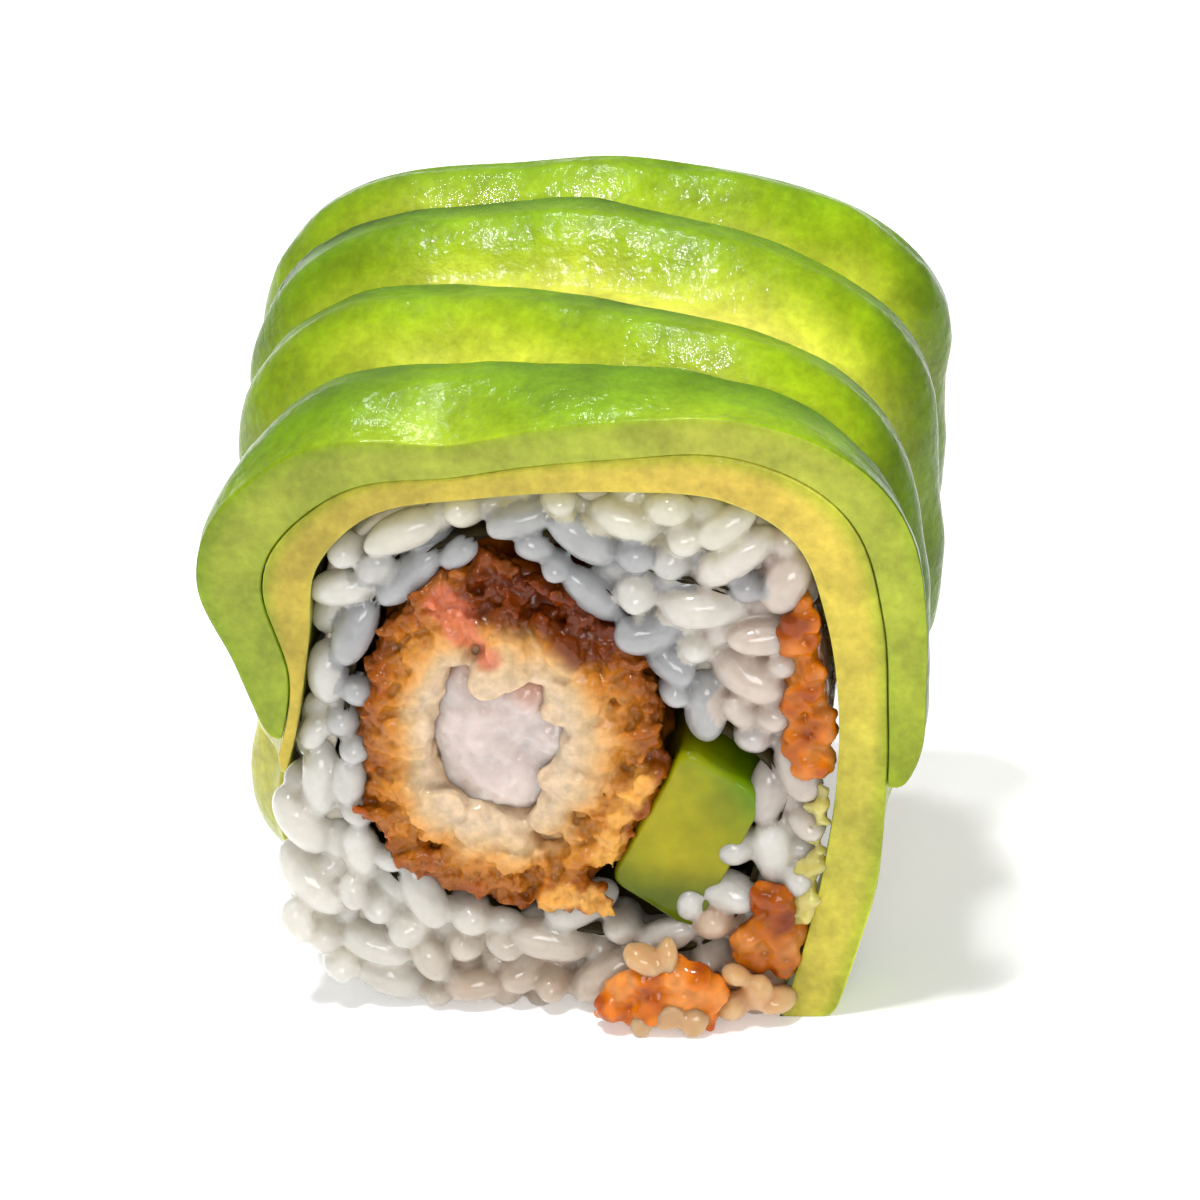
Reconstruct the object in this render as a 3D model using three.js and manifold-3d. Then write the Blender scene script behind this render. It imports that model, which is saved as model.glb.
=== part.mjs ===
// One piece of an inside-out sushi roll, lying on its side with a cut face to the front.
// Sticky rice surrounds a sheet of nori, which wraps a prawn in fried batter and a cucumber baton.
// Shingled avocado slices lie over the top and both sides. Millimetres, +Z up, front towards -Y.
import * as THREE from "three";
import { mergeVertices } from "three/addons/utils/BufferGeometryUtils.js";
import Module from "manifold-3d";

const wasm = await Module();
wasm.setup();

// Driving dimensions
const ROLL_LENGTH = 35;
const FRONT = -ROLL_LENGTH / 2;
const BACK = ROLL_LENGTH / 2;
const CENTRED = [0.82, 1.1];
const GAP = 0.3;
const SLICE_GAP = 0.7;
const GRAIN_LENGTH = 6.4;
const GRAIN_WIDTH = 3.1;
const GRAIN_SPACING = 3.6;
const GRAIN_PROUD = 1.3;
const NORI_THICKNESS = 0.5;
const SLICE_THICKNESS = 2.7;
const SLICE_OVERLAP = 4.2;
const RIM_THINNING = 0.4;
const FRONT_WEDGE = 4;

// Outlines of the section, as [x, z], seen from the front
// Where the avocado lies on the rice: up the left side, over the top and down the right side
const AVOCADO_BED = [
  [-19.6, 4.5], [-20.3, 13], [-17.9, 21.2], [-16.4, 28], [-15.4, 33.2], [-11.6, 37], [-5, 38.2],
  [4, 38.7], [10.8, 38], [15, 35], [16.6, 29.5], [17, 23], [16.4, 16.5], [15.1, 10], [13.3, 3.8], [11.7, -0.8],
];
const RICE_UNDERSIDE = [[9.5, -0.7], [0, -0.8], [-10, -0.5], [-16.6, 1.6]];
const NORI_PATH = [
  [1.4, 32.4], [4.2, 29.4], [6.3, 25.8], [8.2, 22], [11.4, 19.6], [13.2, 17], [11.6, 12], [8.7, 6.2],
  [6.1, 4.6], [1.5, 5.6], [-4, 6.2], [-9.6, 7.8], [-13.6, 11], [-15.4, 16], [-15, 21], [-13.4, 27],
  [-10.6, 32.4], [-5.8, 34.9], [-1.2, 35.1], [3, 33.9], [7, 32.3], [11.4, 30.9],
];
const NORI_LOOP_POINTS = 19;
const BATTER_OUTLINE = [
  [-6.2, 33.4], [-9.8, 30.8], [-12.2, 26], [-13.6, 20.5], [-14, 16.3], [-12.3, 12], [-8.8, 9.2],
  [-3.8, 7.9], [0.4, 9.8], [3.4, 13.5], [5.4, 18.6], [5, 24], [2.8, 28.6], [-1.6, 32.2],
];
const PRAWN_OUTLINE = [
  [-7, 26.2], [-9, 24], [-9.5, 20], [-8.6, 16.3], [-5.7, 14.6], [-2.5, 15.4], [-1, 18.6],
  [0, 22.4], [-1.4, 24.9], [-4.4, 25.1],
];
const CUCUMBER_CORNERS = [[7.6, 19.9], [12, 16.6], [6.9, 6.2], [2, 9.9]];
const SAUCE_OUTLINE = [[15.2, 31.6], [16, 27], [16.35, 22], [15.7, 18.3], [14.3, 18.2], [13.6, 22], [13.9, 28]];

// Avocado slices from front to back. Each lies over the front of the next one.
// The lists run from the slice's left end over the top to its right end. rim is where its skin side lies
// along Y, thick and cut are shares of SLICE_THICKNESS in the middle and at the front cut, and from and to
// are shares of the bed's length. ends are the lengths over which the slice rounds off at its tips.
const SLICES = [
  { name: "avocado_slice_1", from: 0.165, to: 0.805, ends: [5.5, 4],
    thick: [0.8, 1.25, 1.45, 1.05, 1.05, 1.05, 1.05, 1.05, 0.9],
    cut: [0.9, 1.3, 1.25, 0.65, 0.75, 0.75, 1, 1, 0.85],
    rim: [-13.5, -12.2, -9.3, -8.5, -10.3, -11.2, -13, -15.4, -15.4] },
  { name: "avocado_slice_2", from: 0.03, to: 0.995, ends: [4, 2.5], behind: -12,
    thick: [1, 0.9, 1.05, 0.95, 1.05, 1.15, 1.05, 1.2, 1.1],
    cut: [0.2, 0.2, 0.2, 0.25, 1.05, 0.8, 0.5, 0.6, 0.75, 1.05, 1.3, 1.2, 1.05, 1.1, 1.2, 1.15, 1.1],
    rim: [-2, 2, 3.4, 2, -2.6, -5.4, -9, -9.6, -9.6] },
  { name: "avocado_slice_3", from: 0.1, to: 0.83, ends: [7, 4],
    thick: [0.55, 0.8, 1.1, 1, 1, 1.05, 1, 1, 0.9],
    rim: [10.2, 12, 12.2, 11.7, 11.7, 9.4, 7.8, 6.8, 6] },
  { name: "avocado_slice_4", from: 0.13, to: 0.85, ends: [6, 5],
    thick: [0.8, 1, 1.1, 1, 1, 1, 1, 1, 0.9],
    rim: [19, 19, 19, 19, 19, 19, 19, 19, 19] },
  { name: "avocado_slice_5", from: 0.17, to: 0.81, ends: [6, 5],
    thick: [0.8, 0.9, 1, 0.9, 0.9, 1, 1, 0.9, 0.8],
    rim: [24, 24, 24, 24, 24, 24, 24, 24, 24] },
];

// Repeatable random numbers from 0 to 1
function randomSource(seed) {
  let state = seed;
  return () => {
    state = (state + 0x6d2b79f5) | 0;
    let t = Math.imul(state ^ (state >>> 15), 1 | state);
    t = (t + Math.imul(t ^ (t >>> 7), 61 | t)) ^ t;
    return ((t ^ (t >>> 14)) >>> 0) / 4294967296;
  };
}

const smooth = (low, high, x) => THREE.MathUtils.smoothstep(x, low, high);

// A smooth curve through [x, z] points, as count + 1 points, or count points where it is closed
function curvePoints(points, count, closed) {
  const curve = new THREE.CatmullRomCurve3(
    points.map(([x, z]) => new THREE.Vector3(x, 0, z)), closed, "centripetal");
  const found = curve.getSpacedPoints(count).map((p) => [p.x, p.z]);
  return closed ? found.slice(0, count) : found;
}

// A value on the smooth curve through those of a list that is spread evenly over 0 to 1
function along(list, share) {
  const last = list.length - 1;
  const place = THREE.MathUtils.clamp(share, 0, 1) * last;
  const low = Math.min(Math.floor(place), last - 1);
  const t = place - low;
  const [a, b, c, d] = [-1, 0, 1, 2].map((k) => list[THREE.MathUtils.clamp(low + k, 0, last)]);
  return b + 0.5 * t * (c - a + t * (2 * a - 5 * b + 4 * c - d + t * (3 * (b - c) + d - a)));
}

function insideOutline([x, z], outline) {
  let inside = false;
  outline.forEach(([ax, az], i) => {
    const [bx, bz] = outline[(i + 1) % outline.length];
    if (az > z !== bz > z && x < ((bx - ax) * (z - az)) / (bz - az) + ax) inside = !inside;
  });
  return inside;
}

function distanceToPath([x, z], path) {
  return Math.min(...path.map(([px, pz]) => Math.hypot(px - x, pz - z)));
}

// Each point of a path moved sideways, to the left of its direction of travel
function offsetPath(path, offset, closed = false) {
  const last = path.length - 1;
  return path.map(([x, z], i) => {
    const [ax, az] = closed ? path[(i + last) % (last + 1)] : path[Math.max(i - 1, 0)];
    const [bx, bz] = closed ? path[(i + 1) % (last + 1)] : path[Math.min(i + 1, last)];
    const length = Math.hypot(bx - ax, bz - az);
    const away = typeof offset === "function" ? offset(i) : offset;
    return [x - ((bz - az) / length) * away, z + ((bx - ax) / length) * away];
  });
}

// A closed outline made larger by an even margin, whichever way round it runs
function growOutline(outline, margin) {
  const area = outline.reduce((sum, [x, z], i) => {
    const [nextX, nextZ] = outline[(i + 1) % outline.length];
    return sum + x * nextZ - nextX * z;
  }, 0);
  return offsetPath(outline, area > 0 ? -margin : margin, true);
}

// Solids
function toSolid(geometry) {
  const bare = geometry.clone();
  bare.deleteAttribute("normal");
  bare.deleteAttribute("uv");
  const merged = mergeVertices(bare, 1e-3);
  return new wasm.Manifold(new wasm.Mesh({
    numProp: 3,
    vertProperties: new Float32Array(merged.attributes.position.array),
    triVerts: new Uint32Array(merged.index.array),
  }));
}

// The piece widens and rises evenly from front to back, mostly at its upper left
function swell({ x, y, z }) {
  const back = (y - FRONT) / ROLL_LENGTH;
  const left = 0.2 + 3 * (1 - smooth(-18, -3, x)) * smooth(14, 33, z)
    + smooth(4, 16, x) * THREE.MathUtils.lerp(1.5, -0.6, smooth(26, 36, z));
  const up = THREE.MathUtils.lerp(1.3, -0.9, smooth(-2, 14, x)) * smooth(22, 36, z);
  return new THREE.Vector3(x - left * back, y, z + up * back);
}

function toGeometry(solid) {
  const mesh = solid.getMesh();
  const geometry = new THREE.BufferGeometry();
  geometry.setAttribute("position", new THREE.BufferAttribute(mesh.vertProperties, 3));
  geometry.setIndex(new THREE.BufferAttribute(mesh.triVerts, 1));
  return geometry;
}

// What is left once near-coincident points are joined and loose scraps are dropped
function largestBody(solid) {
  const pieces = toSolid(toGeometry(solid)).decompose();
  return pieces.reduce((largest, piece) => (piece.volume() > largest.volume() ? piece : largest));
}

// An outline of [x, z] points pushed along Y from front to back
function prism(outline, front, back) {
  const shape = new THREE.Shape(outline.map(([x, z]) => new THREE.Vector2(x, z)));
  const geometry = new THREE.ExtrudeGeometry(shape, { depth: back - front, bevelEnabled: false, steps: 1 });
  return geometry.rotateX(Math.PI / 2).translate(0, back, 0);
}

// A closed body from a list of rings with the same number of points, capped at both ends
function skinRings(rings) {
  const sides = rings[0].length;
  const positions = rings.flat().flatMap((p) => [p.x, p.y, p.z]);
  const faces = [];
  const middleOf = (ring) => ring.reduce((sum, p) => sum.add(p), new THREE.Vector3()).divideScalar(sides);
  for (let r = 0; r < rings.length - 1; r++) {
    for (let s = 0; s < sides; s++) {
      const a = r * sides + s;
      const b = r * sides + ((s + 1) % sides);
      faces.push(a, b, b + sides, a, b + sides, a + sides);
    }
  }
  const caps = [[0, rings[0], -1], [(rings.length - 1) * sides, rings[rings.length - 1], 1]];
  for (const [start, ring, side] of caps) {
    const centre = positions.length / 3;
    positions.push(...middleOf(ring).toArray());
    for (let s = 0; s < sides; s++) {
      const a = start + s;
      const b = start + ((s + 1) % sides);
      faces.push(...(side > 0 ? [a, b, centre] : [b, a, centre]));
    }
  }
  const corner = (i) => new THREE.Vector3().fromArray(positions, 3 * faces[i]);
  let volume = 0;
  for (let i = 0; i < faces.length; i += 3) volume += corner(i).dot(corner(i + 1).cross(corner(i + 2)));
  if (volume < 0) faces.reverse();
  const geometry = new THREE.BufferGeometry();
  geometry.setAttribute("position", new THREE.Float32BufferAttribute(positions, 3));
  geometry.setIndex(faces);
  return geometry;
}

// An outline swept from front to back with uneven walls and domed ends
function roughLog(outline, front, back, steps, roughness, dome, seed) {
  const random = randomSource(seed);
  const middle = [
    outline.reduce((sum, p) => sum + p[0], 0) / outline.length,
    outline.reduce((sum, p) => sum + p[1], 0) / outline.length,
  ];
  const ring = (y, scale, rough) => outline.map(([x, z]) => {
    const size = scale + rough * (0.4 - random());
    return new THREE.Vector3(
      middle[0] + (x - middle[0]) * size, y, middle[1] + (z - middle[1]) * size);
  });
  const rings = [ring(front - dome, 0.55, roughness / 2), ring(front - dome / 3, 0.85, roughness / 2)];
  for (let i = 0; i <= steps; i++) rings.push(ring(front + ((back - front) * i) / steps, 1, roughness));
  rings.push(ring(back + dome / 3, 0.85, roughness / 2), ring(back + dome, 0.55, roughness / 2));
  return skinRings(rings.reverse());
}

// Avocado slices
const BED_STEPS = 400;
const bed = curvePoints(AVOCADO_BED, BED_STEPS, false);
const bedLength = bed.slice(1).reduce((sum, p, i) => sum + Math.hypot(p[0] - bed[i][0], p[1] - bed[i][1]), 0);

// The point at a share of the bed's length, lifted off the rice
function bedPoint(share, lift) {
  const place = THREE.MathUtils.clamp(share, 0, 1) * BED_STEPS;
  const i = Math.min(Math.round(place), BED_STEPS);
  const span = 12;
  const [ax, az] = bed[Math.max(i - span, 0)];
  const [bx, bz] = bed[Math.min(i + span, BED_STEPS)];
  const length = Math.hypot(bx - ax, bz - az);
  return [bed[i][0] - ((bz - az) / length) * lift, bed[i][1] + ((bx - ax) / length) * lift];
}

// How far through the slice's own length a share of the bed is
const ownShare = (slice, share) => (share - slice.from) / (slice.to - slice.from);
const rounded = (distance, radius) => Math.sqrt(1 - (1 - THREE.MathUtils.clamp(distance / radius, 0, 1)) ** 2);

function endRounding(slice, share, stretch) {
  const fromLeft = (share - slice.from) * bedLength;
  const fromRight = (slice.to - share) * bedLength;
  return rounded(fromLeft, slice.ends[0] * stretch) * rounded(fromRight, slice.ends[1] * stretch);
}

function thicknessAt(slice, share, y) {
  const own = ownShare(slice, share);
  const middle = along(slice.thick, own);
  const atCut = slice.cut ? along(slice.cut, own) : middle;
  const rim = rimAt(slice, share);
  const thinned = 1 - RIM_THINNING * smooth(rim - 6, rim, y);
  return THREE.MathUtils.lerp(atCut, middle, smooth(FRONT, FRONT + 7, y)) * SLICE_THICKNESS * thinned
    * endRounding(slice, share, 1);
}

// Where the slice's skin side lies: it curves in towards the tips
function rimAt(slice, share) {
  return along(slice.rim, ownShare(slice, share)) - 3.5 * (1 - endRounding(slice, share, 1.2));
}

// Where the slice starts: ahead of the cut, or under the slice in front of it
function startAt(index, share) {
  const slice = SLICES[index];
  const ahead = FRONT - FRONT_WEDGE - 2;
  if (index === 0) return ahead;
  if (slice.behind) {
    return THREE.MathUtils.lerp(slice.behind, ahead, smooth(0.09, 0.14, ownShare(slice, share)));
  }
  const inFront = SLICES[index - 1];
  return Math.max(along(inFront.rim, ownShare(inFront, share)) - SLICE_OVERLAP, FRONT + 5.5);
}

function wedgeAt(index, share, y) {
  const start = startAt(index, share);
  return 0.14 + 0.86 * smooth(start, start + FRONT_WEDGE, y);
}

// Height of the slice's underside over the bed: it climbs over the front of the slice behind it
const CLIMB_BEFORE = 4;
const CLIMB_AFTER = 1.6;
function undersideAt(index, share, y) {
  if (index === SLICES.length - 1) return GAP;
  const start = startAt(index + 1, share);
  const covered = smooth(start - CLIMB_BEFORE, start + CLIMB_AFTER, y);
  const over = undersideAt(index + 1, share, y) + thicknessAt(SLICES[index + 1], share, y) + SLICE_GAP;
  return THREE.MathUtils.lerp(GAP, over, covered);
}

// The slice's section at one share of the bed, as a ring from its front edge over the top and back below
function sliceRing(index, share, grow) {
  const slice = SLICES[index];
  const start = Math.max(startAt(index, share), FRONT - 1);
  const end = Math.max(Math.min(rimAt(slice, share), BACK + 1), start + 2.5);
  const reach = end - start;
  const climb = index < SLICES.length - 1 ? startAt(index + 1, share) : end;
  const point = (y, height) => {
    const thickness = Math.max(thicknessAt(slice, share, y), 0.25) * wedgeAt(index, share, y);
    const lift = undersideAt(index, share, y) - grow + (thickness + 2 * grow) * height;
    const [x, z] = bedPoint(share, lift);
    return new THREE.Vector3(x, y, z);
  };
  const stops = [start + Math.min(3, reach * 0.3), climb - CLIMB_BEFORE, climb - 0.7, climb + CLIMB_AFTER]
    .map((y, i) => THREE.MathUtils.clamp(y, start + reach * (0.2 + 0.15 * i), end - reach * (0.45 - 0.12 * i)));
  const top = [start - grow, ...stops].map((y) => point(y, 1));
  const rim = [[end - reach * 0.05 + grow, 0.8], [end + grow, 0.42]].map(([y, height]) => point(y, height));
  const below = [start - grow, ...stops, end - reach * 0.03 + grow].reverse().map((y) => point(y, 0));
  return [...top, ...rim, ...below];
}

const SLICE_STEPS = 20;
function avocadoSlice(index, grow) {
  const { from, to } = SLICES[index];
  const rings = [];
  for (let i = 0; i <= SLICE_STEPS; i++) {
    const even = i / SLICE_STEPS;
    const eased = (1 - Math.cos(even * Math.PI)) / 2;
    const share = from + (to - from) * THREE.MathUtils.lerp(even, eased, 0.55);
    rings.push(sliceRing(index, share, grow));
  }
  const whole = toSolid(skinRings(rings));
  const box = new THREE.BoxGeometry(100, ROLL_LENGTH + 2 * grow, 100).translate(0, 0, 50 - grow * 2);
  return whole.intersect(toSolid(box));
}

// Filling
const noriPath = curvePoints(NORI_PATH, 60, false);

// The sheet's section, with its two ends made longer by extra
function noriOutline(half, extra) {
  const [[ax, az], [bx, bz]] = noriPath;
  const [[cx, cz], [dx, dz]] = noriPath.slice(-2);
  const before = extra / Math.hypot(ax - bx, az - bz);
  const after = extra / Math.hypot(dx - cx, dz - cz);
  const path = [[ax + (ax - bx) * before, az + (az - bz) * before], ...noriPath.slice(1, -1),
    [dx + (dx - cx) * after, dz + (dz - cz) * after]];
  return [...offsetPath(path, half), ...offsetPath(path, -half).reverse()];
}
const fillingHole = curvePoints(NORI_PATH.slice(0, NORI_LOOP_POINTS), 38, true);

function cucumberBaton(grow) {
  const rounding = 1.1;
  const corners = CUCUMBER_CORNERS.map(([x, z]) => new THREE.Vector2(x, z));
  const outline = corners.flatMap((corner, i) => {
    const before = corners[(i + 3) % 4];
    const after = corners[(i + 1) % 4];
    const toBefore = before.clone().sub(corner).setLength(rounding);
    const toAfter = after.clone().sub(corner).setLength(rounding);
    const steps = [0, 0.25, 0.5, 0.75, 1];
    return steps.map((t) => {
      const start = corner.clone().add(toBefore).multiplyScalar((1 - t) ** 2);
      return start.add(corner.clone().multiplyScalar(2 * t * (1 - t)))
        .add(corner.clone().add(toAfter).multiplyScalar(t ** 2));
    });
  });
  const grown = growOutline(outline.map((p) => p.toArray()), grow);
  return toSolid(prism(grown, FRONT + 0.5 - grow, BACK - 0.5 + grow));
}

function prawn(grow) {
  const outline = curvePoints(PRAWN_OUTLINE, 20, true);
  const grown = growOutline(outline, grow);
  return toSolid(roughLog(grown, FRONT + 1 - grow, BACK - 1 + grow, 5, grow ? 0 : 0.035, 0.7, 11));
}

function batter() {
  const outline = curvePoints(BATTER_OUTLINE, 38, true);
  const whole = toSolid(roughLog(outline, FRONT + 0.9, BACK - 0.9, 6, 0.085, 0.5, 23));
  return whole.subtract(prawn(GAP)).subtract(cucumberBaton(GAP));
}

function sauceLayer(grow) {
  const outline = curvePoints(SAUCE_OUTLINE, 16, true);
  const grown = growOutline(outline, grow);
  return toSolid(roughLog(grown, FRONT + 0.8 - grow, BACK - 0.8 + grow, 5, grow ? 0 : 0.12, 0.4, 37));
}

// Rice
const riceOutline = curvePoints([...AVOCADO_BED, ...RICE_UNDERSIDE], 64, true);

function grainSolid([x, y, z], direction, size) {
  const grain = new THREE.SphereGeometry(1, 5, 4);
  const half = new THREE.Vector3(GRAIN_WIDTH / 2, GRAIN_LENGTH / 2, GRAIN_WIDTH / 2).multiplyScalar(size);
  const turn = new THREE.Quaternion().setFromUnitVectors(new THREE.Vector3(0, 1, 0), direction.normalize());
  grain.applyMatrix4(new THREE.Matrix4().compose(new THREE.Vector3(x, y, z), turn, half));
  return toSolid(grain);
}

// Grains on a cut face lie roughly along the nearest edge of the rice
function faceGrains(y, seed) {
  const random = randomSource(seed);
  const placed = [];
  const grains = [];
  const sauce = curvePoints(SAUCE_OUTLINE, 22, true);
  for (let tries = 0; tries < 5000; tries++) {
    const spot = [-22 + 42 * random(), 40 * random()];
    const turn = (random() - 0.5) * 1.5;
    const tilt = (random() - 0.5) * 0.7;
    const size = 0.86 + 0.22 * random();
    if (!insideOutline(spot, riceOutline) || distanceToPath(spot, riceOutline) < 1.25) continue;
    if (insideOutline(spot, fillingHole) || distanceToPath(spot, noriPath) < 1.3) continue;
    if (insideOutline(spot, sauce)) continue;
    if (placed.some((p) => Math.hypot(p[0] - spot[0], p[1] - spot[1]) < GRAIN_SPACING)) continue;
    placed.push(spot);
    const nearest = riceOutline.reduce((best, p, i) => {
      const away = Math.hypot(p[0] - spot[0], p[1] - spot[1]);
      return away < best.away ? { away, i } : best;
    }, { away: Infinity, i: 0 }).i;
    const [ax, az] = riceOutline[nearest];
    const [bx, bz] = riceOutline[(nearest + 1) % riceOutline.length];
    const angle = Math.atan2(bz - az, bx - ax) + turn;
    const direction = new THREE.Vector3(Math.cos(angle), tilt, Math.sin(angle));
    grains.push(grainSolid([spot[0], y, spot[1]], direction, size));
  }
  return grains;
}

// Grains on the outside, where no avocado covers the rice
function sideGrains(seed) {
  const random = randomSource(seed);
  const placed = [];
  const grains = [];
  const inner = growOutline(riceOutline, -0.75);
  for (let tries = 0; tries < 900; tries++) {
    const i = Math.floor(random() * inner.length);
    const y = FRONT + 2.2 + (ROLL_LENGTH - 4.4) * random();
    const turn = (random() - 0.5) * 2.6;
    const size = 0.85 + 0.2 * random();
    const [x, z] = inner[i];
    const covered = z > 22 || (x > 0 && z > 16) || (x > -12 && x < 10 && z < 3);
    if (covered || placed.some((p) => Math.hypot(p[0] - x, p[1] - y, p[2] - z) < GRAIN_SPACING + 0.5)) continue;
    placed.push([x, y, z]);
    const [bx, bz] = inner[(i + 1) % inner.length];
    const run = new THREE.Vector3(bx - x, 0, bz - z).normalize().multiplyScalar(Math.cos(turn));
    grains.push(grainSolid([x, y, z], run.add(new THREE.Vector3(0, Math.sin(turn), 0)), size));
  }
  return grains;
}

// A clump of sauced grains and fried crumbs hangs out at the foot of the front face
function clumpGrains(seed) {
  const random = randomSource(seed);
  const spots = [[1.6, 1.6], [4.4, 1.8], [7.2, 1.5], [3, 4], [5.9, 4.4], [8.8, 3.6], [11.6, 5.4]];
  return spots.map(([x, z], i) => {
    const y = FRONT + (i < 4 ? -1.6 : -0.4);
    const direction = new THREE.Vector3(1, (random() - 0.5) * 0.6, (random() - 0.5) * 0.9);
    return grainSolid([x, y, z], direction, 0.78 + 0.14 * random());
  });
}

function rice(slicesGrown) {
  let solid = toSolid(prism(riceOutline, FRONT + GRAIN_PROUD, BACK - GRAIN_PROUD));
  const grains = [...faceGrains(FRONT + GRAIN_PROUD, 5), ...faceGrains(BACK - GRAIN_PROUD, 6),
    ...sideGrains(7), ...clumpGrains(8)];
  for (const grain of grains) solid = solid.add(grain);
  const hole = toSolid(prism(fillingHole, FRONT - 5, BACK + 5));
  const sheet = toSolid(prism(noriOutline(NORI_THICKNESS / 2 + GAP, GAP), FRONT - 5, BACK + 5));
  const floor = toSolid(new THREE.BoxGeometry(100, 100, 20).translate(0, 0, -10));
  for (const cut of [hole, sheet, floor, sauceLayer(GAP), ...slicesGrown]) solid = solid.subtract(cut);
  return largestBody(solid);
}

// Materials and the assembled roll
const finish = (color, roughness) => new THREE.MeshStandardMaterial({ color, roughness, metalness: 0 });
const riceFinish = finish(0xdad8cc, 0.45);
const noriFinish = finish(0x1f241a, 0.7);
const batterFinish = finish(0xb86f22, 0.65);
const prawnFinish = finish(0xe6cfc6, 0.4);
const cucumberFinish = finish(0x9fae3a, 0.35);
const sauceFinish = finish(0xb4561a, 0.35);
const avocadoFinish = finish(0x9ab52a, 0.4);

const roll = new THREE.Group();
roll.position.set(...CENTRED, 0);
function place(name, solid, material) {
  const geometry = toGeometry(solid);
  const spots = geometry.attributes.position;
  for (let i = 0; i < spots.count; i++) {
    spots.setXYZ(i, ...swell(new THREE.Vector3().fromBufferAttribute(spots, i)).toArray());
  }
  const mesh = new THREE.Mesh(geometry, material);
  mesh.name = name;
  roll.add(mesh);
}

const slicesGrown = SLICES.map((_, index) => avocadoSlice(index, GAP * 0.8));
place("rice", rice(slicesGrown), riceFinish);
place("nori", toSolid(prism(noriOutline(NORI_THICKNESS / 2, 0), FRONT + 0.5, BACK - 0.5)), noriFinish);
place("tempura_batter", batter(), batterFinish);
place("prawn", prawn(0), prawnFinish);
place("cucumber", cucumberBaton(0), cucumberFinish);
place("spicy_sauce", sauceLayer(0), sauceFinish);
SLICES.forEach((slice, index) => place(slice.name, avocadoSlice(index, 0), avocadoFinish));

export default roll;
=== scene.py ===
# One piece of an inside-out sushi roll with prawn in batter, lying on its side under avocado slices.
# Lengths are millimetres in the roll's own section until a mesh is made, where they become metres.
import bpy
import math
import numpy as np
from mathutils import Euler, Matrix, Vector, noise
from mathutils.kdtree import KDTree
from random import Random


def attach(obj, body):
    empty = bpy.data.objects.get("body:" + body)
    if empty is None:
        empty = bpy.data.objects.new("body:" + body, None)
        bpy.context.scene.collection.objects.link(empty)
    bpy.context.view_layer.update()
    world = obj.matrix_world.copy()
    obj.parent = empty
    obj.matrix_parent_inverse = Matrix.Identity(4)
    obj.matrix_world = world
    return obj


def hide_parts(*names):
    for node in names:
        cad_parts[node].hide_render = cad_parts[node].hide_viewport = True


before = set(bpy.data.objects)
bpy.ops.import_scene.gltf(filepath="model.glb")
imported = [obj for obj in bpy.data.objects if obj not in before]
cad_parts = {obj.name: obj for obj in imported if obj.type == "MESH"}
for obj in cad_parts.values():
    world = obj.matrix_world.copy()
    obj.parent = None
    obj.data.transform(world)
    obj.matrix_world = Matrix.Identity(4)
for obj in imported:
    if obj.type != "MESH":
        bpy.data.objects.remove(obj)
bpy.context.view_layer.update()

MM = 0.001
CENTRED = (0.82, 1.1, 0.0)
ROLL_LENGTH = 35.0
FRONT = -ROLL_LENGTH / 2
BACK = ROLL_LENGTH / 2
GAP = 0.3
SLICE_GAP = 0.7
SLICE_THICKNESS = 2.7
SLICE_OVERLAP = 4.2
RIM_THINNING = 0.4
FRONT_WEDGE = 4.0
CLIMB_BEFORE = 4.0
CLIMB_AFTER = 1.6
CONTACT = 0.05
FLOOR_CLEARANCE = 0.03
CLUMP_PROUD = 2.75
CRUMBS_PROUD = 0.6
GRAINS_PROUD = 0.5
BACK_PROUD = 0.45
PRAWN_PROUD = 0.25

# Outlines of the section, as [x, z], seen from the front
AVOCADO_BED = [
    (-19.6, 4.5), (-20.3, 13), (-17.9, 21.2), (-16.4, 28), (-15.4, 33.2), (-11.6, 37), (-5, 38.2),
    (4, 38.7), (10.8, 38), (15, 35), (16.6, 29.5), (17, 23), (16.4, 16.5), (15.1, 10), (13.3, 3.8),
    (11.7, -0.8)]
RICE_UNDERSIDE = [(9.5, -0.7), (0, -0.8), (-10, -0.5), (-16.6, 1.6)]
NORI_PATH = [
    (1.4, 32.4), (4.2, 29.4), (6.3, 25.8), (8.2, 22), (11.4, 19.6), (13.2, 17), (11.6, 12), (8.7, 6.2),
    (6.1, 4.6), (1.5, 5.6), (-4, 6.2), (-9.6, 7.8), (-13.6, 11), (-15.4, 16), (-15, 21), (-13.4, 27),
    (-10.6, 32.4), (-5.8, 34.9), (-1.2, 35.1), (3, 33.9), (7, 32.3), (11.4, 30.9)]
NORI_LOOP_POINTS = 19
BATTER_OUTLINE = [
    (-6.2, 33.4), (-9.8, 30.8), (-12.2, 26), (-13.6, 20.5), (-14, 16.3), (-12.3, 12), (-8.8, 9.2),
    (-3.8, 7.9), (0.4, 9.8), (3.4, 13.5), (5.4, 18.6), (5, 24), (2.8, 28.6), (-1.6, 32.2)]
PRAWN_OUTLINE = [
    (-7, 26.2), (-9, 24), (-9.5, 20), (-8.6, 16.3), (-5.7, 14.6), (-2.5, 15.4), (-1, 18.6),
    (0, 22.4), (-1.4, 24.9), (-4.4, 25.1)]
CUCUMBER_CORNERS = [(7, 20.1), (12.1, 16.4), (6.7, 5.9), (1.4, 10)]
SAUCE_OUTLINE = [
    (15.2, 31.6), (16, 27), (16.35, 22), (15.7, 18.3), (14.3, 18.2), (13.6, 22), (13.9, 28)]

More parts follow.
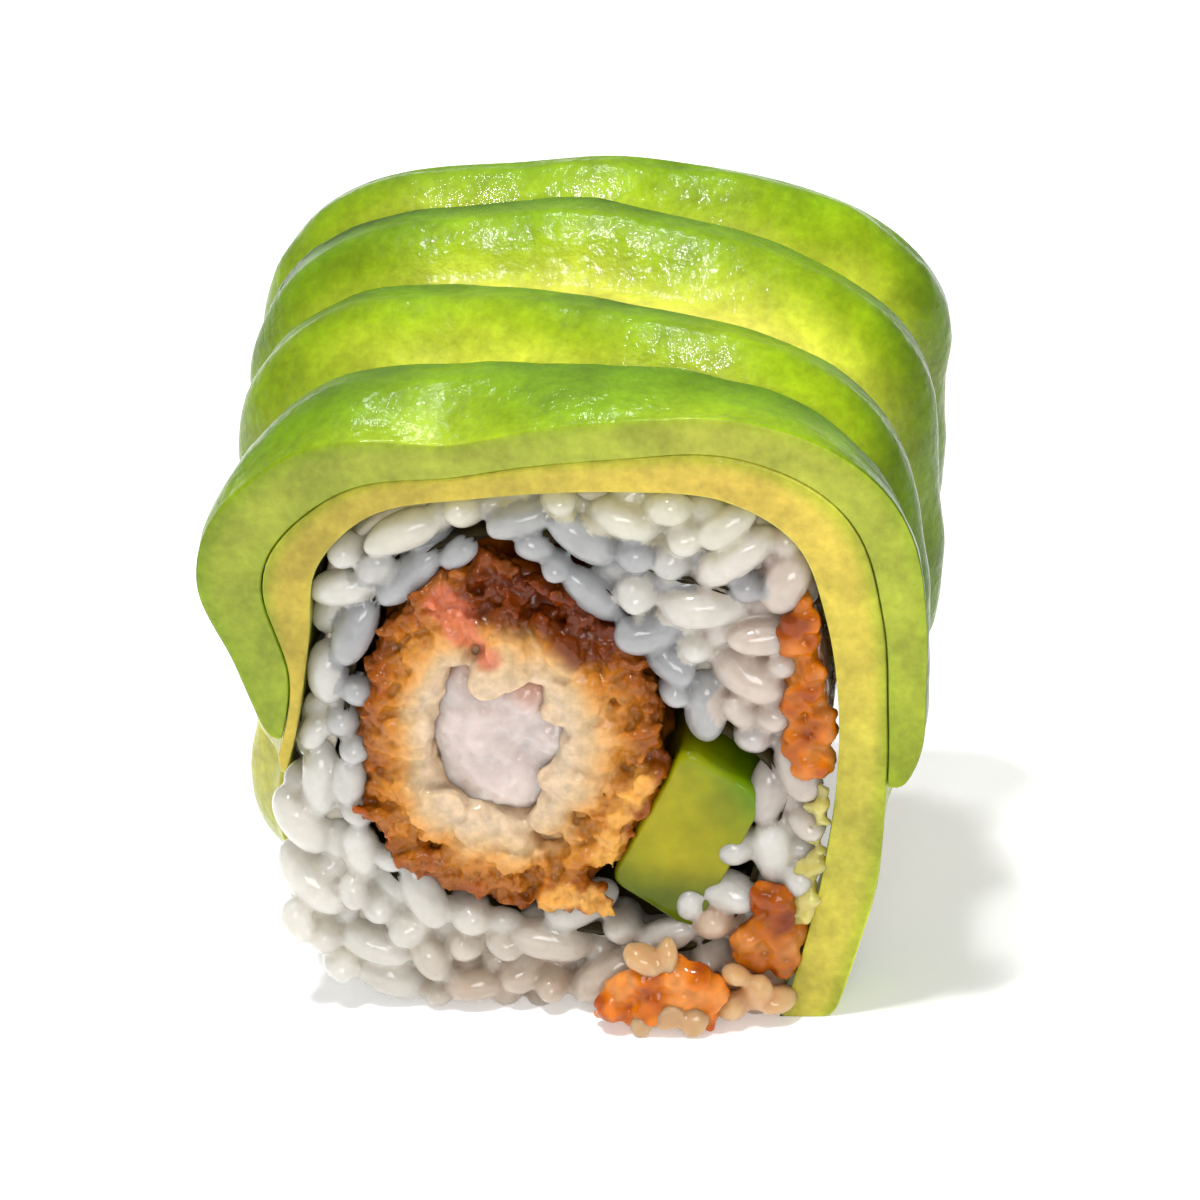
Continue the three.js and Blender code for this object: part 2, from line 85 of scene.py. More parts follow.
# Avocado slices from front to back. Each lies over the front of the next one.
SLICES = [
    dict(name="avocado_slice_1", start=0.165, stop=0.805, ends=(5.5, 4), behind=None,
         thick=(0.8, 1.25, 1.45, 1.05, 1.05, 1.05, 1.05, 1.05, 0.9),
         cut=(0.9, 1.3, 1.25, 0.65, 0.75, 0.75, 1, 1, 0.85),
         rim=(-13.5, -12.2, -9.3, -8.5, -10.3, -11.2, -13, -15.4, -15.4)),
    dict(name="avocado_slice_2", start=0.03, stop=0.995, ends=(4, 2.5), behind=-12,
         thick=(1, 0.9, 1.05, 0.95, 1.05, 1.15, 1.05, 1.2, 1.1),
         cut=(0.2, 0.2, 0.2, 0.25, 1.05, 0.8, 0.5, 0.6, 0.75, 1.05, 1.3, 1.2, 1.05, 1.1, 1.2, 1.15, 1.1),
         rim=(-2, 2, 3.4, 2, -2.6, -5.4, -9, -9.6, -9.6)),
    dict(name="avocado_slice_3", start=0.1, stop=0.83, ends=(7, 4), behind=None,
         thick=(0.55, 0.8, 1.1, 1, 1, 1.05, 1, 1, 0.9), cut=None,
         rim=(10.2, 12, 12.2, 11.7, 11.7, 9.4, 7.8, 6.8, 6)),
    dict(name="avocado_slice_4", start=0.13, stop=0.85, ends=(6, 5), behind=None,
         thick=(0.8, 1, 1.1, 1, 1, 1, 1, 1, 0.9), cut=None, rim=(19,) * 9),
    dict(name="avocado_slice_5", start=0.17, stop=0.81, ends=(6, 5), behind=None,
         thick=(0.8, 0.9, 1, 0.9, 0.9, 1, 1, 0.9, 0.8), cut=None, rim=(24,) * 9),
]


# Curves and outlines
def smooth(low, high, x):
    t = np.clip((np.asarray(x, float) - low) / (high - low), 0, 1)
    return t * t * (3 - 2 * t)


def lerp(a, b, t):
    return a + (b - a) * t


def curve_points(points, count, closed=False):
    """Evenly spaced points on a smooth curve through the given ones."""
    pts = np.array(points, float)
    if closed:
        pts = np.vstack([pts[-1], pts, pts[:2]])
    else:
        pts = np.vstack([2 * pts[0] - pts[1], pts, 2 * pts[-1] - pts[-2]])
    fine = []
    t = np.linspace(0, 1, 24, endpoint=False)[:, None]
    for p0, p1, p2, p3 in zip(pts, pts[1:], pts[2:], pts[3:]):
        d0, d1, d2 = (math.sqrt(np.linalg.norm(b - a)) for a, b in ((p0, p1), (p1, p2), (p2, p3)))
        m1 = ((p1 - p0) / d0 - (p2 - p0) / (d0 + d1) + (p2 - p1) / d1) * d1
        m2 = ((p2 - p1) / d1 - (p3 - p1) / (d1 + d2) + (p3 - p2) / d2) * d1
        fine.append(p1 + m1 * t + (3 * (p2 - p1) - 2 * m1 - m2) * t ** 2
                    + (2 * (p1 - p2) + m1 + m2) * t ** 3)
    fine.append(pts[-2][None])
    fine = np.vstack(fine)
    run = np.concatenate([[0], np.cumsum(np.linalg.norm(np.diff(fine, axis=0), axis=1))])
    at = np.linspace(0, run[-1], count + 1)
    spaced = np.column_stack([np.interp(at, run, fine[:, k]) for k in range(2)])
    return spaced[:count] if closed else spaced


def along(values, share):
    """A value between those of a list that is spread evenly over 0 to 1."""
    v = np.array(values, float)
    place = np.clip(share, 0, 1) * (len(v) - 1)
    low = np.minimum(np.floor(place).astype(int), len(v) - 2)
    t = place - low
    p0, p1, p2, p3 = (v[np.clip(low + k, 0, len(v) - 1)] for k in (-1, 0, 1, 2))
    return p1 + 0.5 * t * (p2 - p0 + t * (2 * p0 - 5 * p1 + 4 * p2 - p3 + t * (3 * (p1 - p2) + p3 - p0)))


# Avocado slices: shares are parts of the bed's length
BED_STEPS = 400
bed = curve_points(AVOCADO_BED, BED_STEPS)
bed_length = np.linalg.norm(np.diff(bed, axis=0), axis=1).sum()
NORMAL_SPAN = 12
bed_ahead = bed[np.minimum(np.arange(BED_STEPS + 1) + NORMAL_SPAN, BED_STEPS)]
bed_behind = bed[np.maximum(np.arange(BED_STEPS + 1) - NORMAL_SPAN, 0)]
bed_normal = np.column_stack([-(bed_ahead - bed_behind)[:, 1], (bed_ahead - bed_behind)[:, 0]])
bed_normal /= np.linalg.norm(bed_normal, axis=1)[:, None]


def bed_point(share, lift):
    at = np.clip(share, 0, 1) * BED_STEPS
    steps = np.arange(BED_STEPS + 1)
    spot = [np.interp(at, steps, bed[:, k]) + np.interp(at, steps, bed_normal[:, k]) * lift
            for k in range(2)]
    return spot[0], spot[1]


def own_share(s, share):
    return (share - s["start"]) / (s["stop"] - s["start"])


def rounded(distance, radius):
    return np.sqrt(1 - (1 - np.clip(distance / radius, 0, 1)) ** 2)


def end_rounding(s, share, stretch):
    from_left = (share - s["start"]) * bed_length
    from_right = (s["stop"] - share) * bed_length
    return rounded(from_left, s["ends"][0] * stretch) * rounded(from_right, s["ends"][1] * stretch)


def rim_at(s, share):
    return along(s["rim"], own_share(s, share)) - 3.5 * (1 - end_rounding(s, share, 1.2))


def thickness_at(s, share, y):
    own = own_share(s, share)
    middle = along(s["thick"], own)
    at_cut = along(s["cut"], own) if s["cut"] else middle
    rim = rim_at(s, share)
    thinned = 1 - RIM_THINNING * smooth(0, 1, (y - rim + 6) / 6)
    return (lerp(at_cut, middle, smooth(FRONT, FRONT + 7, y)) * SLICE_THICKNESS * thinned
            * end_rounding(s, share, 1))


def start_at(index, share):
    ahead = FRONT - FRONT_WEDGE - 2
    s = SLICES[index]
    if index == 0:
        return np.full_like(share, ahead)
    if s["behind"] is not None:
        return lerp(s["behind"], ahead, smooth(0.09, 0.14, own_share(s, share)))
    in_front = SLICES[index - 1]
    return np.maximum(along(in_front["rim"], own_share(in_front, share)) - SLICE_OVERLAP, FRONT + 5.5)


def wedge_at(index, share, y):
    start = start_at(index, share)
    return 0.14 + 0.86 * smooth(0, 1, (y - start) / FRONT_WEDGE)


def covered_at(index, share, y):
    if index == len(SLICES) - 1:
        return np.zeros_like(y)
    start = start_at(index + 1, share)
    return smooth(0, 1, (y - start + CLIMB_BEFORE) / (CLIMB_BEFORE + CLIMB_AFTER))


def underside_at(index, share, y):
    if index == len(SLICES) - 1:
        return np.full_like(y, GAP)
    over = underside_at(index + 1, share, y) + thickness_at(SLICES[index + 1], share, y) + SLICE_GAP
    return lerp(GAP, over, covered_at(index, share, y))


# Meshes
def swell(points):
    """The piece widens and rises evenly from front to back, mostly at its upper left."""
    p = np.array(points, float)
    back = (p[..., 1] - FRONT) / ROLL_LENGTH
    left = 0.2 + 3 * (1 - smooth(-18, -3, p[..., 0])) * smooth(14, 33, p[..., 2])
    left = left + smooth(4, 16, p[..., 0]) * lerp(1.5, -0.6, smooth(26, 36, p[..., 2]))
    up = lerp(1.3, -0.9, smooth(-2, 14, p[..., 0])) * smooth(22, 36, p[..., 2])
    p[..., 0] -= left * back
    p[..., 2] += up * back
    return p


def to_world(points):
    return (np.asarray(points, float) + CENTRED) * MM


def limited(points):
    """Nothing goes below the floor or further forward than the clump."""
    points[:, 2] = np.maximum(points[:, 2], FLOOR_CLEARANCE)
    points[:, 1] = np.clip(points[:, 1], FRONT - CLUMP_PROUD, BACK + BACK_PROUD)
    return points


def add_object(name, data):
    made = bpy.data.objects.new(name, data)
    bpy.context.scene.collection.objects.link(made)
    return made


def add_piece(name, points, faces, tones, surface, slot, node=None):
    """A mesh object from swollen points in millimetres, with a colour each.

    It replaces a node, which has the slot's name unless another is given.
    """
    mesh = bpy.data.meshes.new(name)
    mesh.from_pydata(to_world(limited(points)).tolist(), [], faces)
    mesh.validate()
    layer = mesh.attributes.new("tone", "FLOAT_COLOR", "POINT")
    rgba = np.ones((len(points), 4), np.float32)
    rgba[:, :3] = tones
    layer.data.foreach_set("color", rgba.ravel())
    mesh.polygons.foreach_set("use_smooth", np.full(len(mesh.polygons), True))
    mesh.update()
    piece = add_object(name, mesh)
    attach(piece, "root")
    piece.data.materials.append(surface)
    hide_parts(node or slot)


def ring_faces(rings, sides, hollow):
    """Faces between rings: closed on itself where the body is hollow, and capped where it isn't."""
    faces = []
    for r in range(rings if hollow else rings - 1):
        for s in range(sides):
            a = r * sides + s
            b = r * sides + (s + 1) % sides
            c = ((r + 1) % rings) * sides
            faces.append((a, b, c + (s + 1) % sides, c + s))
    if not hollow:
        faces.append(tuple(range(sides))[::-1])
        faces.append(tuple(range((rings - 1) * sides, rings * sides)))
    return faces


def fractal(points, scale, octaves=3, seed=0.0):
    """Smooth noise of about -1 to 1 at each point."""
    total = np.zeros(len(points))
    size = 1.0
    for octave in range(octaves):
        shift = Vector((seed + 17.3 * octave, 5.1 * seed, 9.7))
        total += size * np.array([noise.noise(Vector(p) / scale + shift) for p in points])
        size *= 0.5
        scale *= 0.5
    return total


def srgb(r, g, b):
    c = np.array([r, g, b]) / 255
    return np.where(c <= 0.04045, c / 12.92, ((c + 0.055) / 1.055) ** 2.4)


def ramp(x, stops):
    """Colours for a list of (place, sRGB colour)."""
    places = [p for p, _ in stops]
    colours = np.array([srgb(*c) for _, c in stops])
    return np.column_stack([np.interp(x, places, colours[:, k]) for k in range(3)])


def blend(tone, colour, amount):
    return lerp(tone, colour, amount[:, None])


def uneven(tone, change):
    return tone * (1 + change)[:, None]


# Materials
def set_inputs(node, **inputs):
    for key, value in inputs.items():
        node.inputs[key.replace("_", " ")].default_value = value


def material(name, **inputs):
    made = bpy.data.materials.new(name)
    made.use_nodes = True
    tree = made.node_tree
    shader = tree.nodes["Principled BSDF"]
    set_inputs(shader, **inputs)
    return made, tree, shader


def link(tree, source, target):
    tree.links.new(source, target)


def tone_colour(tree):
    node = tree.nodes.new("ShaderNodeAttribute")
    node.attribute_name = "tone"
    return node.outputs["Color"]


def noise_node(tree, scale, detail=4.0, rough=0.55):
    """Noise in object space, with its scale given as features per millimetre."""
    coord = tree.nodes.new("ShaderNodeTexCoord")
    node = tree.nodes.new("ShaderNodeTexNoise")
    set_inputs(node, Scale=scale / MM, Detail=detail, Roughness=rough)
    link(tree, coord.outputs["Object"], node.inputs["Vector"])
    return node.outputs["Fac"]


def bump_node(tree, height, strength, distance, normal=None):
    node = tree.nodes.new("ShaderNodeBump")
    set_inputs(node, Strength=strength, Distance=distance * MM)
    link(tree, height, node.inputs["Height"])
    if normal is not None:
        link(tree, normal, node.inputs["Normal"])
    return node.outputs["Normal"]


def shade_mix(tree, colour, factor, low, high):
    """A colour made darker or lighter by a factor's place between 0.35 and 0.65."""
    span = tree.nodes.new("ShaderNodeMapRange")
    set_inputs(span, From_Min=0.35, From_Max=0.65, To_Min=low, To_Max=high)
    link(tree, factor, span.inputs["Value"])
    scale = tree.nodes.new("ShaderNodeVectorMath")
    scale.operation = "SCALE"
    link(tree, colour, scale.inputs[0])
    link(tree, span.outputs["Result"], scale.inputs["Scale"])
    return scale.outputs["Vector"]


def avocado_material():
    made, tree, shader = material(
        "avocado", Roughness=0.45, Subsurface_Weight=0.25, Subsurface_Scale=0.0012, IOR=1.36,
        Specular_IOR_Level=0.2, Coat_Weight=0.5, Coat_Roughness=0.05, Coat_IOR=1.3,
        Subsurface_Radius=(1.0, 0.9, 0.3))
    mottled = shade_mix(tree, tone_colour(tree), noise_node(tree, 0.25, 5, 0.65), 0.76, 1.2)
    mottled = shade_mix(tree, mottled, noise_node(tree, 1.6, 3), 0.92, 1.08)
    link(tree, mottled, shader.inputs["Base Color"])
    coarse = bump_node(tree, noise_node(tree, 0.4, 3), 0.5, 0.35)
    fine = bump_node(tree, noise_node(tree, 1.3, 3), 0.8, 0.13, coarse)
    link(tree, fine, shader.inputs["Normal"])
    link(tree, fine, shader.inputs["Coat Normal"])
    return made


# Colour of the flesh by its distance from the skin side, on top and on a cut face
TOP_TONES = [(0, (74, 108, 0)), (0.8, (90, 128, 0)), (3, (118, 152, 0)), (5, (148, 174, 12)),
             (7.5, (194, 202, 56)), (10, (220, 212, 88)), (20, (226, 216, 96))]
CUT_TONES = [(0, (134, 158, 24)), (2, (154, 172, 50)), (6, (168, 176, 62)), (9, (188, 182, 66)),
             (14, (200, 182, 72)), (24, (204, 180, 72))]
SKIN_SIDE_GREEN = srgb(132, 166, 12)
# Painted shade for the sides of the slice tops
DEEPER_GREEN_AND_SIDE_SHADE = np.array((0.42, 0.48, 0.3))
FRONT_SLICE_GREENER = 0.62
WARMER = np.array((1.0, 0.9, 1.0))
CUT_RADIUS = 0.35
FRONT_RADIUS = 0.7
RIM_RADIUS = 1.3
LEAST_REACH = 1.5
LEAST_THICKNESS = 0.06
SQUARENESS = 0.55
DENT_DEPTH = 0.28
SLICE_SHARES = 200
WALL_POINTS = 9
TOP_POINTS = 54
BELOW_POINTS = 24


def slice_section(index, share):
    """Each point's y, and its height as a share of the thickness.

    They run round one closed section: up the front, over the top, down the rim and back below.
    """
    start = np.maximum(start_at(index, share), FRONT)
    end = np.minimum(rim_at(SLICES[index], share), BACK)
    end = np.maximum(end, start + LEAST_REACH)
    r0 = np.where(start <= FRONT + 1e-6, CUT_RADIUS, FRONT_RADIUS)
    r1 = np.where(end >= BACK - 1e-6, CUT_RADIUS, RIM_RADIUS)
    r1 = np.minimum(r1, (end - start) * 0.4)
    angle = np.linspace(-math.pi / 2, math.pi / 2, WALL_POINTS * 2 + 1)[None, :]
    bulge = np.sign(np.cos(angle)) * np.abs(np.cos(angle)) ** SQUARENESS
    rise = 0.5 + 0.5 * np.sign(np.sin(angle)) * np.abs(np.sin(angle)) ** SQUARENESS
    front_y = start + r0 * (1 - bulge)
    rim_y = (end - r1 * (1 - bulge))[:, ::-1]
    inner = np.linspace(0, 1, TOP_POINTS + 2)[None, 1:-1]
    top_y = lerp(start + r0, end - r1, inner)
    under = np.linspace(1, 0, BELOW_POINTS + 2)[None, 1:-1]
    below_y = lerp(start + r0, end - r1, under)
    y = np.hstack([front_y, top_y, rim_y, below_y])
    height = np.hstack([np.broadcast_to(rise, front_y.shape), np.ones_like(top_y),
                        np.broadcast_to(rise[:, ::-1], rim_y.shape), np.zeros_like(below_y)])
    return y, height


def slice_points(index, share, y, height, thick):
    gap = lerp(GAP, SLICE_GAP, covered_at(index, share, y)) - CONTACT
    lift = underside_at(index, share, y) - gap + (thick + gap) * height
    x, z = bed_point(share, lift)
    points = np.stack([x, y, z], axis=-1).reshape(-1, 3)
    # Soft dents and ripples on the outside, none on the cut planes
    inside = smooth(FRONT, FRONT + 1.2, points[:, 1]) * smooth(-BACK, -BACK + 1.2, -points[:, 1])
    dent = fractal(points * (1, 0.7, 1), 7.0, 3, 3.0 + index)
    amount = DENT_DEPTH * dent * inside * height.reshape(-1) * np.minimum(thick.reshape(-1), 1)
    steps = np.arange(BED_STEPS + 1)
    for k, axis in enumerate((0, 2)):
        points[:, axis] += np.interp(share.reshape(-1) * BED_STEPS, steps, bed_normal[:, k]) * amount
    return points


def slice_tones(index, points, from_rim, height, thick):
    from_rim = from_rim + 1.6 * fractal(points, 9.0, 2, 11.0 + index)
    if index == 0:
        from_rim = from_rim * FRONT_SLICE_GREENER
    x = points[:, 0]
    y = points[:, 1]
    on_cut = ((y < FRONT + 0.12) | (y > BACK - 0.12)).astype(float)
    skin_side = smooth(0.6, 1.0, height) * smooth(0.5, 3, thick)
    cut_tone = blend(ramp(from_rim, CUT_TONES), SKIN_SIDE_GREEN, 0.6 * skin_side)
    # Painted light and shade: the cut face darker at the left and lighter at the right
    cut_tone = cut_tone * lerp(0.76, 1.08, smooth(-17, 17, x))[:, None]
    cut_tone = cut_tone * blend(1, WARMER, smooth(-2, 12, x))
    tone = blend(ramp(from_rim, TOP_TONES), cut_tone, on_cut)
    # Darker green down both sides, painted shade that is strongest at the right, where neighbouring pieces
    # shade the slices
    side = np.maximum(smooth(16.5, 21, x), 0.62 * smooth(-7, -17, x))
    return tone * blend(1, DEEPER_GREEN_AND_SIDE_SHADE, side * (1 - on_cut))


def avocado_slice(index):
    s = SLICES[index]
    even = np.linspace(0, 1, SLICE_SHARES)
    eased = lerp(even, (1 - np.cos(even * math.pi)) / 2, 0.7)
    share = (s["start"] + (s["stop"] - s["start"]) * eased)[:, None]
    y, height = slice_section(index, share)
    share = np.broadcast_to(share, y.shape)
    thick = np.maximum(thickness_at(s, share, y) * wedge_at(index, share, y), LEAST_THICKNESS)
    points = slice_points(index, share, y, height, thick)
    from_rim = (rim_at(s, share) - y).reshape(-1)
    tones = slice_tones(index, points, from_rim, height.reshape(-1), thick.reshape(-1))
    rings, sides = y.shape
    add_piece(s["name"] + "_flesh", swell(points), ring_faces(rings, sides, False), tones, AVOCADO,
              "avocado", s["name"])


AVOCADO = avocado_material()
for slice_index in range(len(SLICES)):
    avocado_slice(slice_index)


# Bodies between two outlines, and heaps of small pieces
def spokes(outline, middle, count):
    """The distance of an outline from a middle, at even angles."""
    away = np.asarray(outline, float) - middle
    angle = np.arctan2(away[:, 1], away[:, 0])
    order = np.argsort(angle)
    even = np.linspace(-math.pi, math.pi, count, endpoint=False)
    return np.interp(even, angle[order], np.hypot(away[:, 0], away[:, 1])[order], period=2 * math.pi)


def resampled(outline, count):
    closed = np.vstack([outline, outline[:1]])
    run = np.concatenate([[0], np.cumsum(np.linalg.norm(np.diff(closed, axis=0), axis=1))])
    at = np.linspace(0, run[-1], count, endpoint=False)
    return np.column_stack([np.interp(at, run, closed[:, k]) for k in range(2)])


def spoke_points(reach, middle):
    angle = np.linspace(-math.pi, math.pi, len(reach), endpoint=False)
    return np.column_stack([middle[0] + reach * np.cos(angle), middle[1] + reach * np.sin(angle)])


def reach_at(reach, middle, x, z):
    """Distance from the middle, and the outline's distance in that direction."""
    angle = np.arctan2(z - middle[1], x - middle[0])
    even = np.linspace(-math.pi, math.pi, len(reach), endpoint=False)
    return np.hypot(x - middle[0], z - middle[1]), np.interp(angle, even, reach, period=2 * math.pi)


def cap_places(front, steps, edge, depth):
    """Places (share outwards, y) from the inner to the outer edge of a front face."""
    share = np.linspace(0, 1, steps)
    turn = np.clip((share - 1 + edge) / edge, 0, 1)
    return list(zip(share, front + depth * (1 - np.sqrt(np.maximum(1 - turn ** 2, 0)))))


def outward(points, faces):
    """Normals of the points, and the faces turned so that they point out."""
    quads = np.array([(*f, f[0])[:4] for f in faces if len(f) in (3, 4)])
    a, b, c, d = (points[quads[:, k]] for k in range(4))
    normal = np.cross(c - a, d - b)
    total = np.zeros_like(points)
    for k in range(3):
        np.add.at(total, quads[:, k], normal)
    total /= np.maximum(np.linalg.norm(total, axis=1), 1e-9)[:, None]
    volume = (a * normal).sum()
    if volume < 0:
        return -total, [f[::-1] for f in faces]
    return total, faces


def body(outer, inner, set_back, steps, wall, edge=0.12, depth=0.5, hollow=False):
    """Points, normals and faces of a body between the cuts, with its faces set back from them.

    Its rings run from the inner to the outer outline, along the wall and back to the inner one.
    """
    front = FRONT + set_back
    back = BACK - set_back
    cap = cap_places(front, steps, edge, depth)
    places = cap + [(1, y) for y in np.linspace(front + depth, back - depth, wall)[1:-1]]
    places += [(share, front + back - y) for share, y in cap[::-1]]
    rings = []
    for share, y in places:
        line = lerp(inner, outer, share)
        rings.append(np.column_stack([line[:, 0], np.full(len(outer), y), line[:, 1]]))
    points = np.vstack(rings)
    normal, faces = outward(points, ring_faces(len(places), len(outer), hollow))
    return points, normal, faces


def raised(points, normal, lift):
    return points + normal * lift[:, None]


def ball_template(around, along_steps):
    """Unit ball with its axis along X: points and faces."""
    points = [(-1.0, 0.0, 0.0)]
    for i in range(1, along_steps):
        lean = math.pi * i / along_steps
        for k in range(around):
            turn = 2 * math.pi * (k + 0.5 * (i % 2)) / around
            points.append((-math.cos(lean), math.sin(lean) * math.cos(turn),
                           math.sin(lean) * math.sin(turn)))
    points.append((1.0, 0.0, 0.0))
    last = len(points) - 1
    faces = []
    for k in range(around):
        n = (k + 1) % around
        faces.append((0, 1 + n, 1 + k))
        faces.append((last, last - around + k, last - around + n))
        for i in range(along_steps - 2):
            a = 1 + i * around
            if i % 2:
                faces.append((a + k, a + n, a + around + k))
                faces.append((a + n, a + around + n, a + around + k))
            else:
                faces.append((a + k, a + n, a + around + n))
                faces.append((a + k, a + around + n, a + around + k))
    return np.array(points), np.array(faces)


class Heap:
    """Many small closed pieces in one mesh."""

    def __init__(self):
        self.points = []
        self.faces = []
        self.count = 0

    def add(self, points, faces):
        self.points.append(points)
        self.faces.append(faces + self.count)
        self.count += len(points)


def turned(direction):
    """Axes with the first along a direction."""
    a = np.asarray(direction, float)
    a = a / np.linalg.norm(a)
    b = np.cross(a, (0.3, 0.2, 0.9) if abs(a[2]) < 0.8 else (0.9, 0.3, 0.1))
    b /= np.linalg.norm(b)
    return np.array([a, b, np.cross(a, b)])


def fused(heap, voxel, easing=0.6, kept=1.0):
    """The lumps of a heap melted into one skin: points, faces and normals."""
    mesh = bpy.data.meshes.new("lumps")
    mesh.from_pydata(np.vstack(heap.points).tolist(), [], np.vstack(heap.faces).tolist())
    lumps = add_object("lumps", mesh)
    skin = lumps.modifiers.new("skin", "REMESH")
    skin.mode = "VOXEL"
    skin.voxel_size = voxel
    ease = lumps.modifiers.new("ease", "SMOOTH")
    ease.factor = easing
    ease.iterations = 2
    if kept < 1:
        thin = lumps.modifiers.new("thin", "DECIMATE")
        thin.ratio = kept
    made = lumps.evaluated_get(bpy.context.evaluated_depsgraph_get()).to_mesh()
    points = np.array([v.co[:] for v in made.vertices])
    faces = [tuple(f.vertices) for f in made.polygons]
    lumps.evaluated_get(bpy.context.evaluated_depsgraph_get()).to_mesh_clear()
    bpy.data.objects.remove(lumps)
    normal, faces = outward(points, faces)
    return points, faces, normal


# Surfaces of the filling and the rice
def food_material(name, glow, reach, rough, coat, coat_rough, grain, relief, tint=(1.0, 0.8, 0.6),
                  patchy=0.14, clear=0.0):
    """A moist food surface.

    glow is the share of light that spreads in it over reach millimetres, and clear the share that passes
    straight through. grain is the number of features per millimetre, and relief their height.
    """
    made, tree, shader = material(
        name, Roughness=rough, Subsurface_Weight=glow, Subsurface_Scale=reach * MM, IOR=1.4,
        Specular_IOR_Level=0.15, Coat_Weight=coat, Coat_Roughness=coat_rough, Coat_IOR=1.45,
        Transmission_Weight=clear, Subsurface_Radius=tint)
    mottled = shade_mix(tree, tone_colour(tree), noise_node(tree, grain, 4), 1 - patchy, 1 + patchy)
    link(tree, mottled, shader.inputs["Base Color"])
    bump = bump_node(tree, noise_node(tree, grain * 2.5, 3), 0.6, relief)
    link(tree, bump, shader.inputs["Normal"])
    return made


GRAIN_SURFACE = food_material(
    "cooked_rice", glow=1.0, reach=3.0, rough=0.25, coat=1.0, coat_rough=0.05, grain=0.55, relief=0.12,
    tint=(1.0, 0.94, 0.86), patchy=0.08, clear=0.3)
CORE_SURFACE = food_material(
    "rice_depth", glow=0.3, reach=1.0, rough=0.4, coat=0.1, coat_rough=0.2, grain=0.5, relief=0.15)
NORI_SURFACE = food_material(
    "seaweed", glow=0.0, reach=0.5, rough=0.5, coat=0.15, coat_rough=0.2, grain=1.2, relief=0.25)
CRUST_SURFACE = food_material(
    "fried_crust", glow=0.4, reach=1.2, rough=0.35, coat=0.45, coat_rough=0.1, grain=1.3, relief=0.08,
    tint=(1.0, 0.5, 0.15), patchy=0.15)
PRAWN_SURFACE = food_material(
    "prawn_meat", glow=0.9, reach=2.6, rough=0.3, coat=0.8, coat_rough=0.06, grain=0.7, relief=0.2,
    tint=(1.0, 0.7, 0.6), patchy=0.06)
CUCUMBER_SURFACE = food_material(
    "cucumber_flesh", glow=0.35, reach=1.2, rough=0.3, coat=0.35, coat_rough=0.06, grain=0.4, relief=0.06,
    tint=(0.8, 1.0, 0.2))
SAUCE_SURFACE = food_material(
    "orange_sauce", glow=0.45, reach=1.0, rough=0.25, coat=0.5, coat_rough=0.05, grain=0.7, relief=0.1,
    tint=(1.0, 0.4, 0.08))


# Rice
MIDDLE = np.array((-2.5, 19.0))
SPOKES = 220
rice_reach = spokes(curve_points(AVOCADO_BED + RICE_UNDERSIDE, 400, True), MIDDLE, SPOKES)
loop_reach = spokes(curve_points(NORI_PATH[:NORI_LOOP_POINTS], 300, True), MIDDLE, SPOKES)
SHEET_HIDDEN = 1.9
nori_line = curve_points(NORI_PATH, 240)
tail_line = nori_line[170:]
sauce_line = curve_points(SAUCE_OUTLINE, 40, True)


def nearest(line, x, z):
    return np.hypot(line[:, 0] - x, line[:, 1] - z).min()


def inside_line(line, x, z):
    a = line
    b = np.roll(line, -1, axis=0)
    crosses = (a[:, 1] > z) != (b[:, 1] > z)
    at = a[:, 0] + (b[:, 0] - a[:, 0]) * (z - a[:, 1]) / np.where(crosses, b[:, 1] - a[:, 1], 1)
    return (crosses & (x < at)).sum() % 2 == 1


CORE_SET_BACK = 1.9
CORE_UNDER_AVOCADO = 0.9
CORE_OUTSIDE_SHEET = 0.5
CORE_TONE = srgb(204, 196, 180)


def rice_core():
    outer = spoke_points(rice_reach - CORE_UNDER_AVOCADO, MIDDLE)
    inner = spoke_points(loop_reach + CORE_OUTSIDE_SHEET, MIDDLE)
    points, normal, faces = body(outer, inner, CORE_SET_BACK, 16, 40, hollow=True)
    points = raised(points, normal, 0.35 * fractal(points, 2.6, 2, 4.0) - 0.1)
    points[:, 2] = np.maximum(points[:, 2], FLOOR_CLEARANCE)
    tone = uneven(CORE_TONE, 0.25 * fractal(points, 3.0, 2, 9.0))
    add_piece("rice_core", swell(points), faces, tone, CORE_SURFACE, "rice")


PALE = srgb(226, 222, 212)
WARM = srgb(196, 176, 156)
YELLOWISH = srgb(214, 206, 164)
BLUE_GREY_SHADE = srgb(166, 168, 172)
ROSY = srgb(210, 188, 174)
AMBER = srgb(206, 138, 66)


def rice_tone(centre, random):
    """Cooked rice with painted bluish shade over the dark sheet, rosy by the sauce and yellowish under the
    avocado.
    """
    x, y, z = centre
    from_middle, loop = reach_at(loop_reach, MIDDLE, x, z)
    tone = lerp(PALE, WARM, smooth(9, 1, z) * smooth(-15, -8, x) * 0.9)
    tone = lerp(tone, YELLOWISH, 0.5 * smooth(33, 38, z))
    tone = lerp(tone, ROSY, 0.7 * smooth(6.5, 2, nearest(sauce_line, x, z)))
    # Painted shade: bluish grey where the rice lies over the dark sheet
    sheet_shade = smooth(2.2, 0.6, min(from_middle - loop, nearest(tail_line, x, z) * 1.3))
    tone = lerp(tone, BLUE_GREY_SHADE, sheet_shade * smooth(12, 26, z) * 0.85)
    if x > 8 and z < 8:
        tone = lerp(tone, AMBER, 0.45 * smooth(-9, -14, y))
    return tone * (0.93 + 0.12 * random.random())


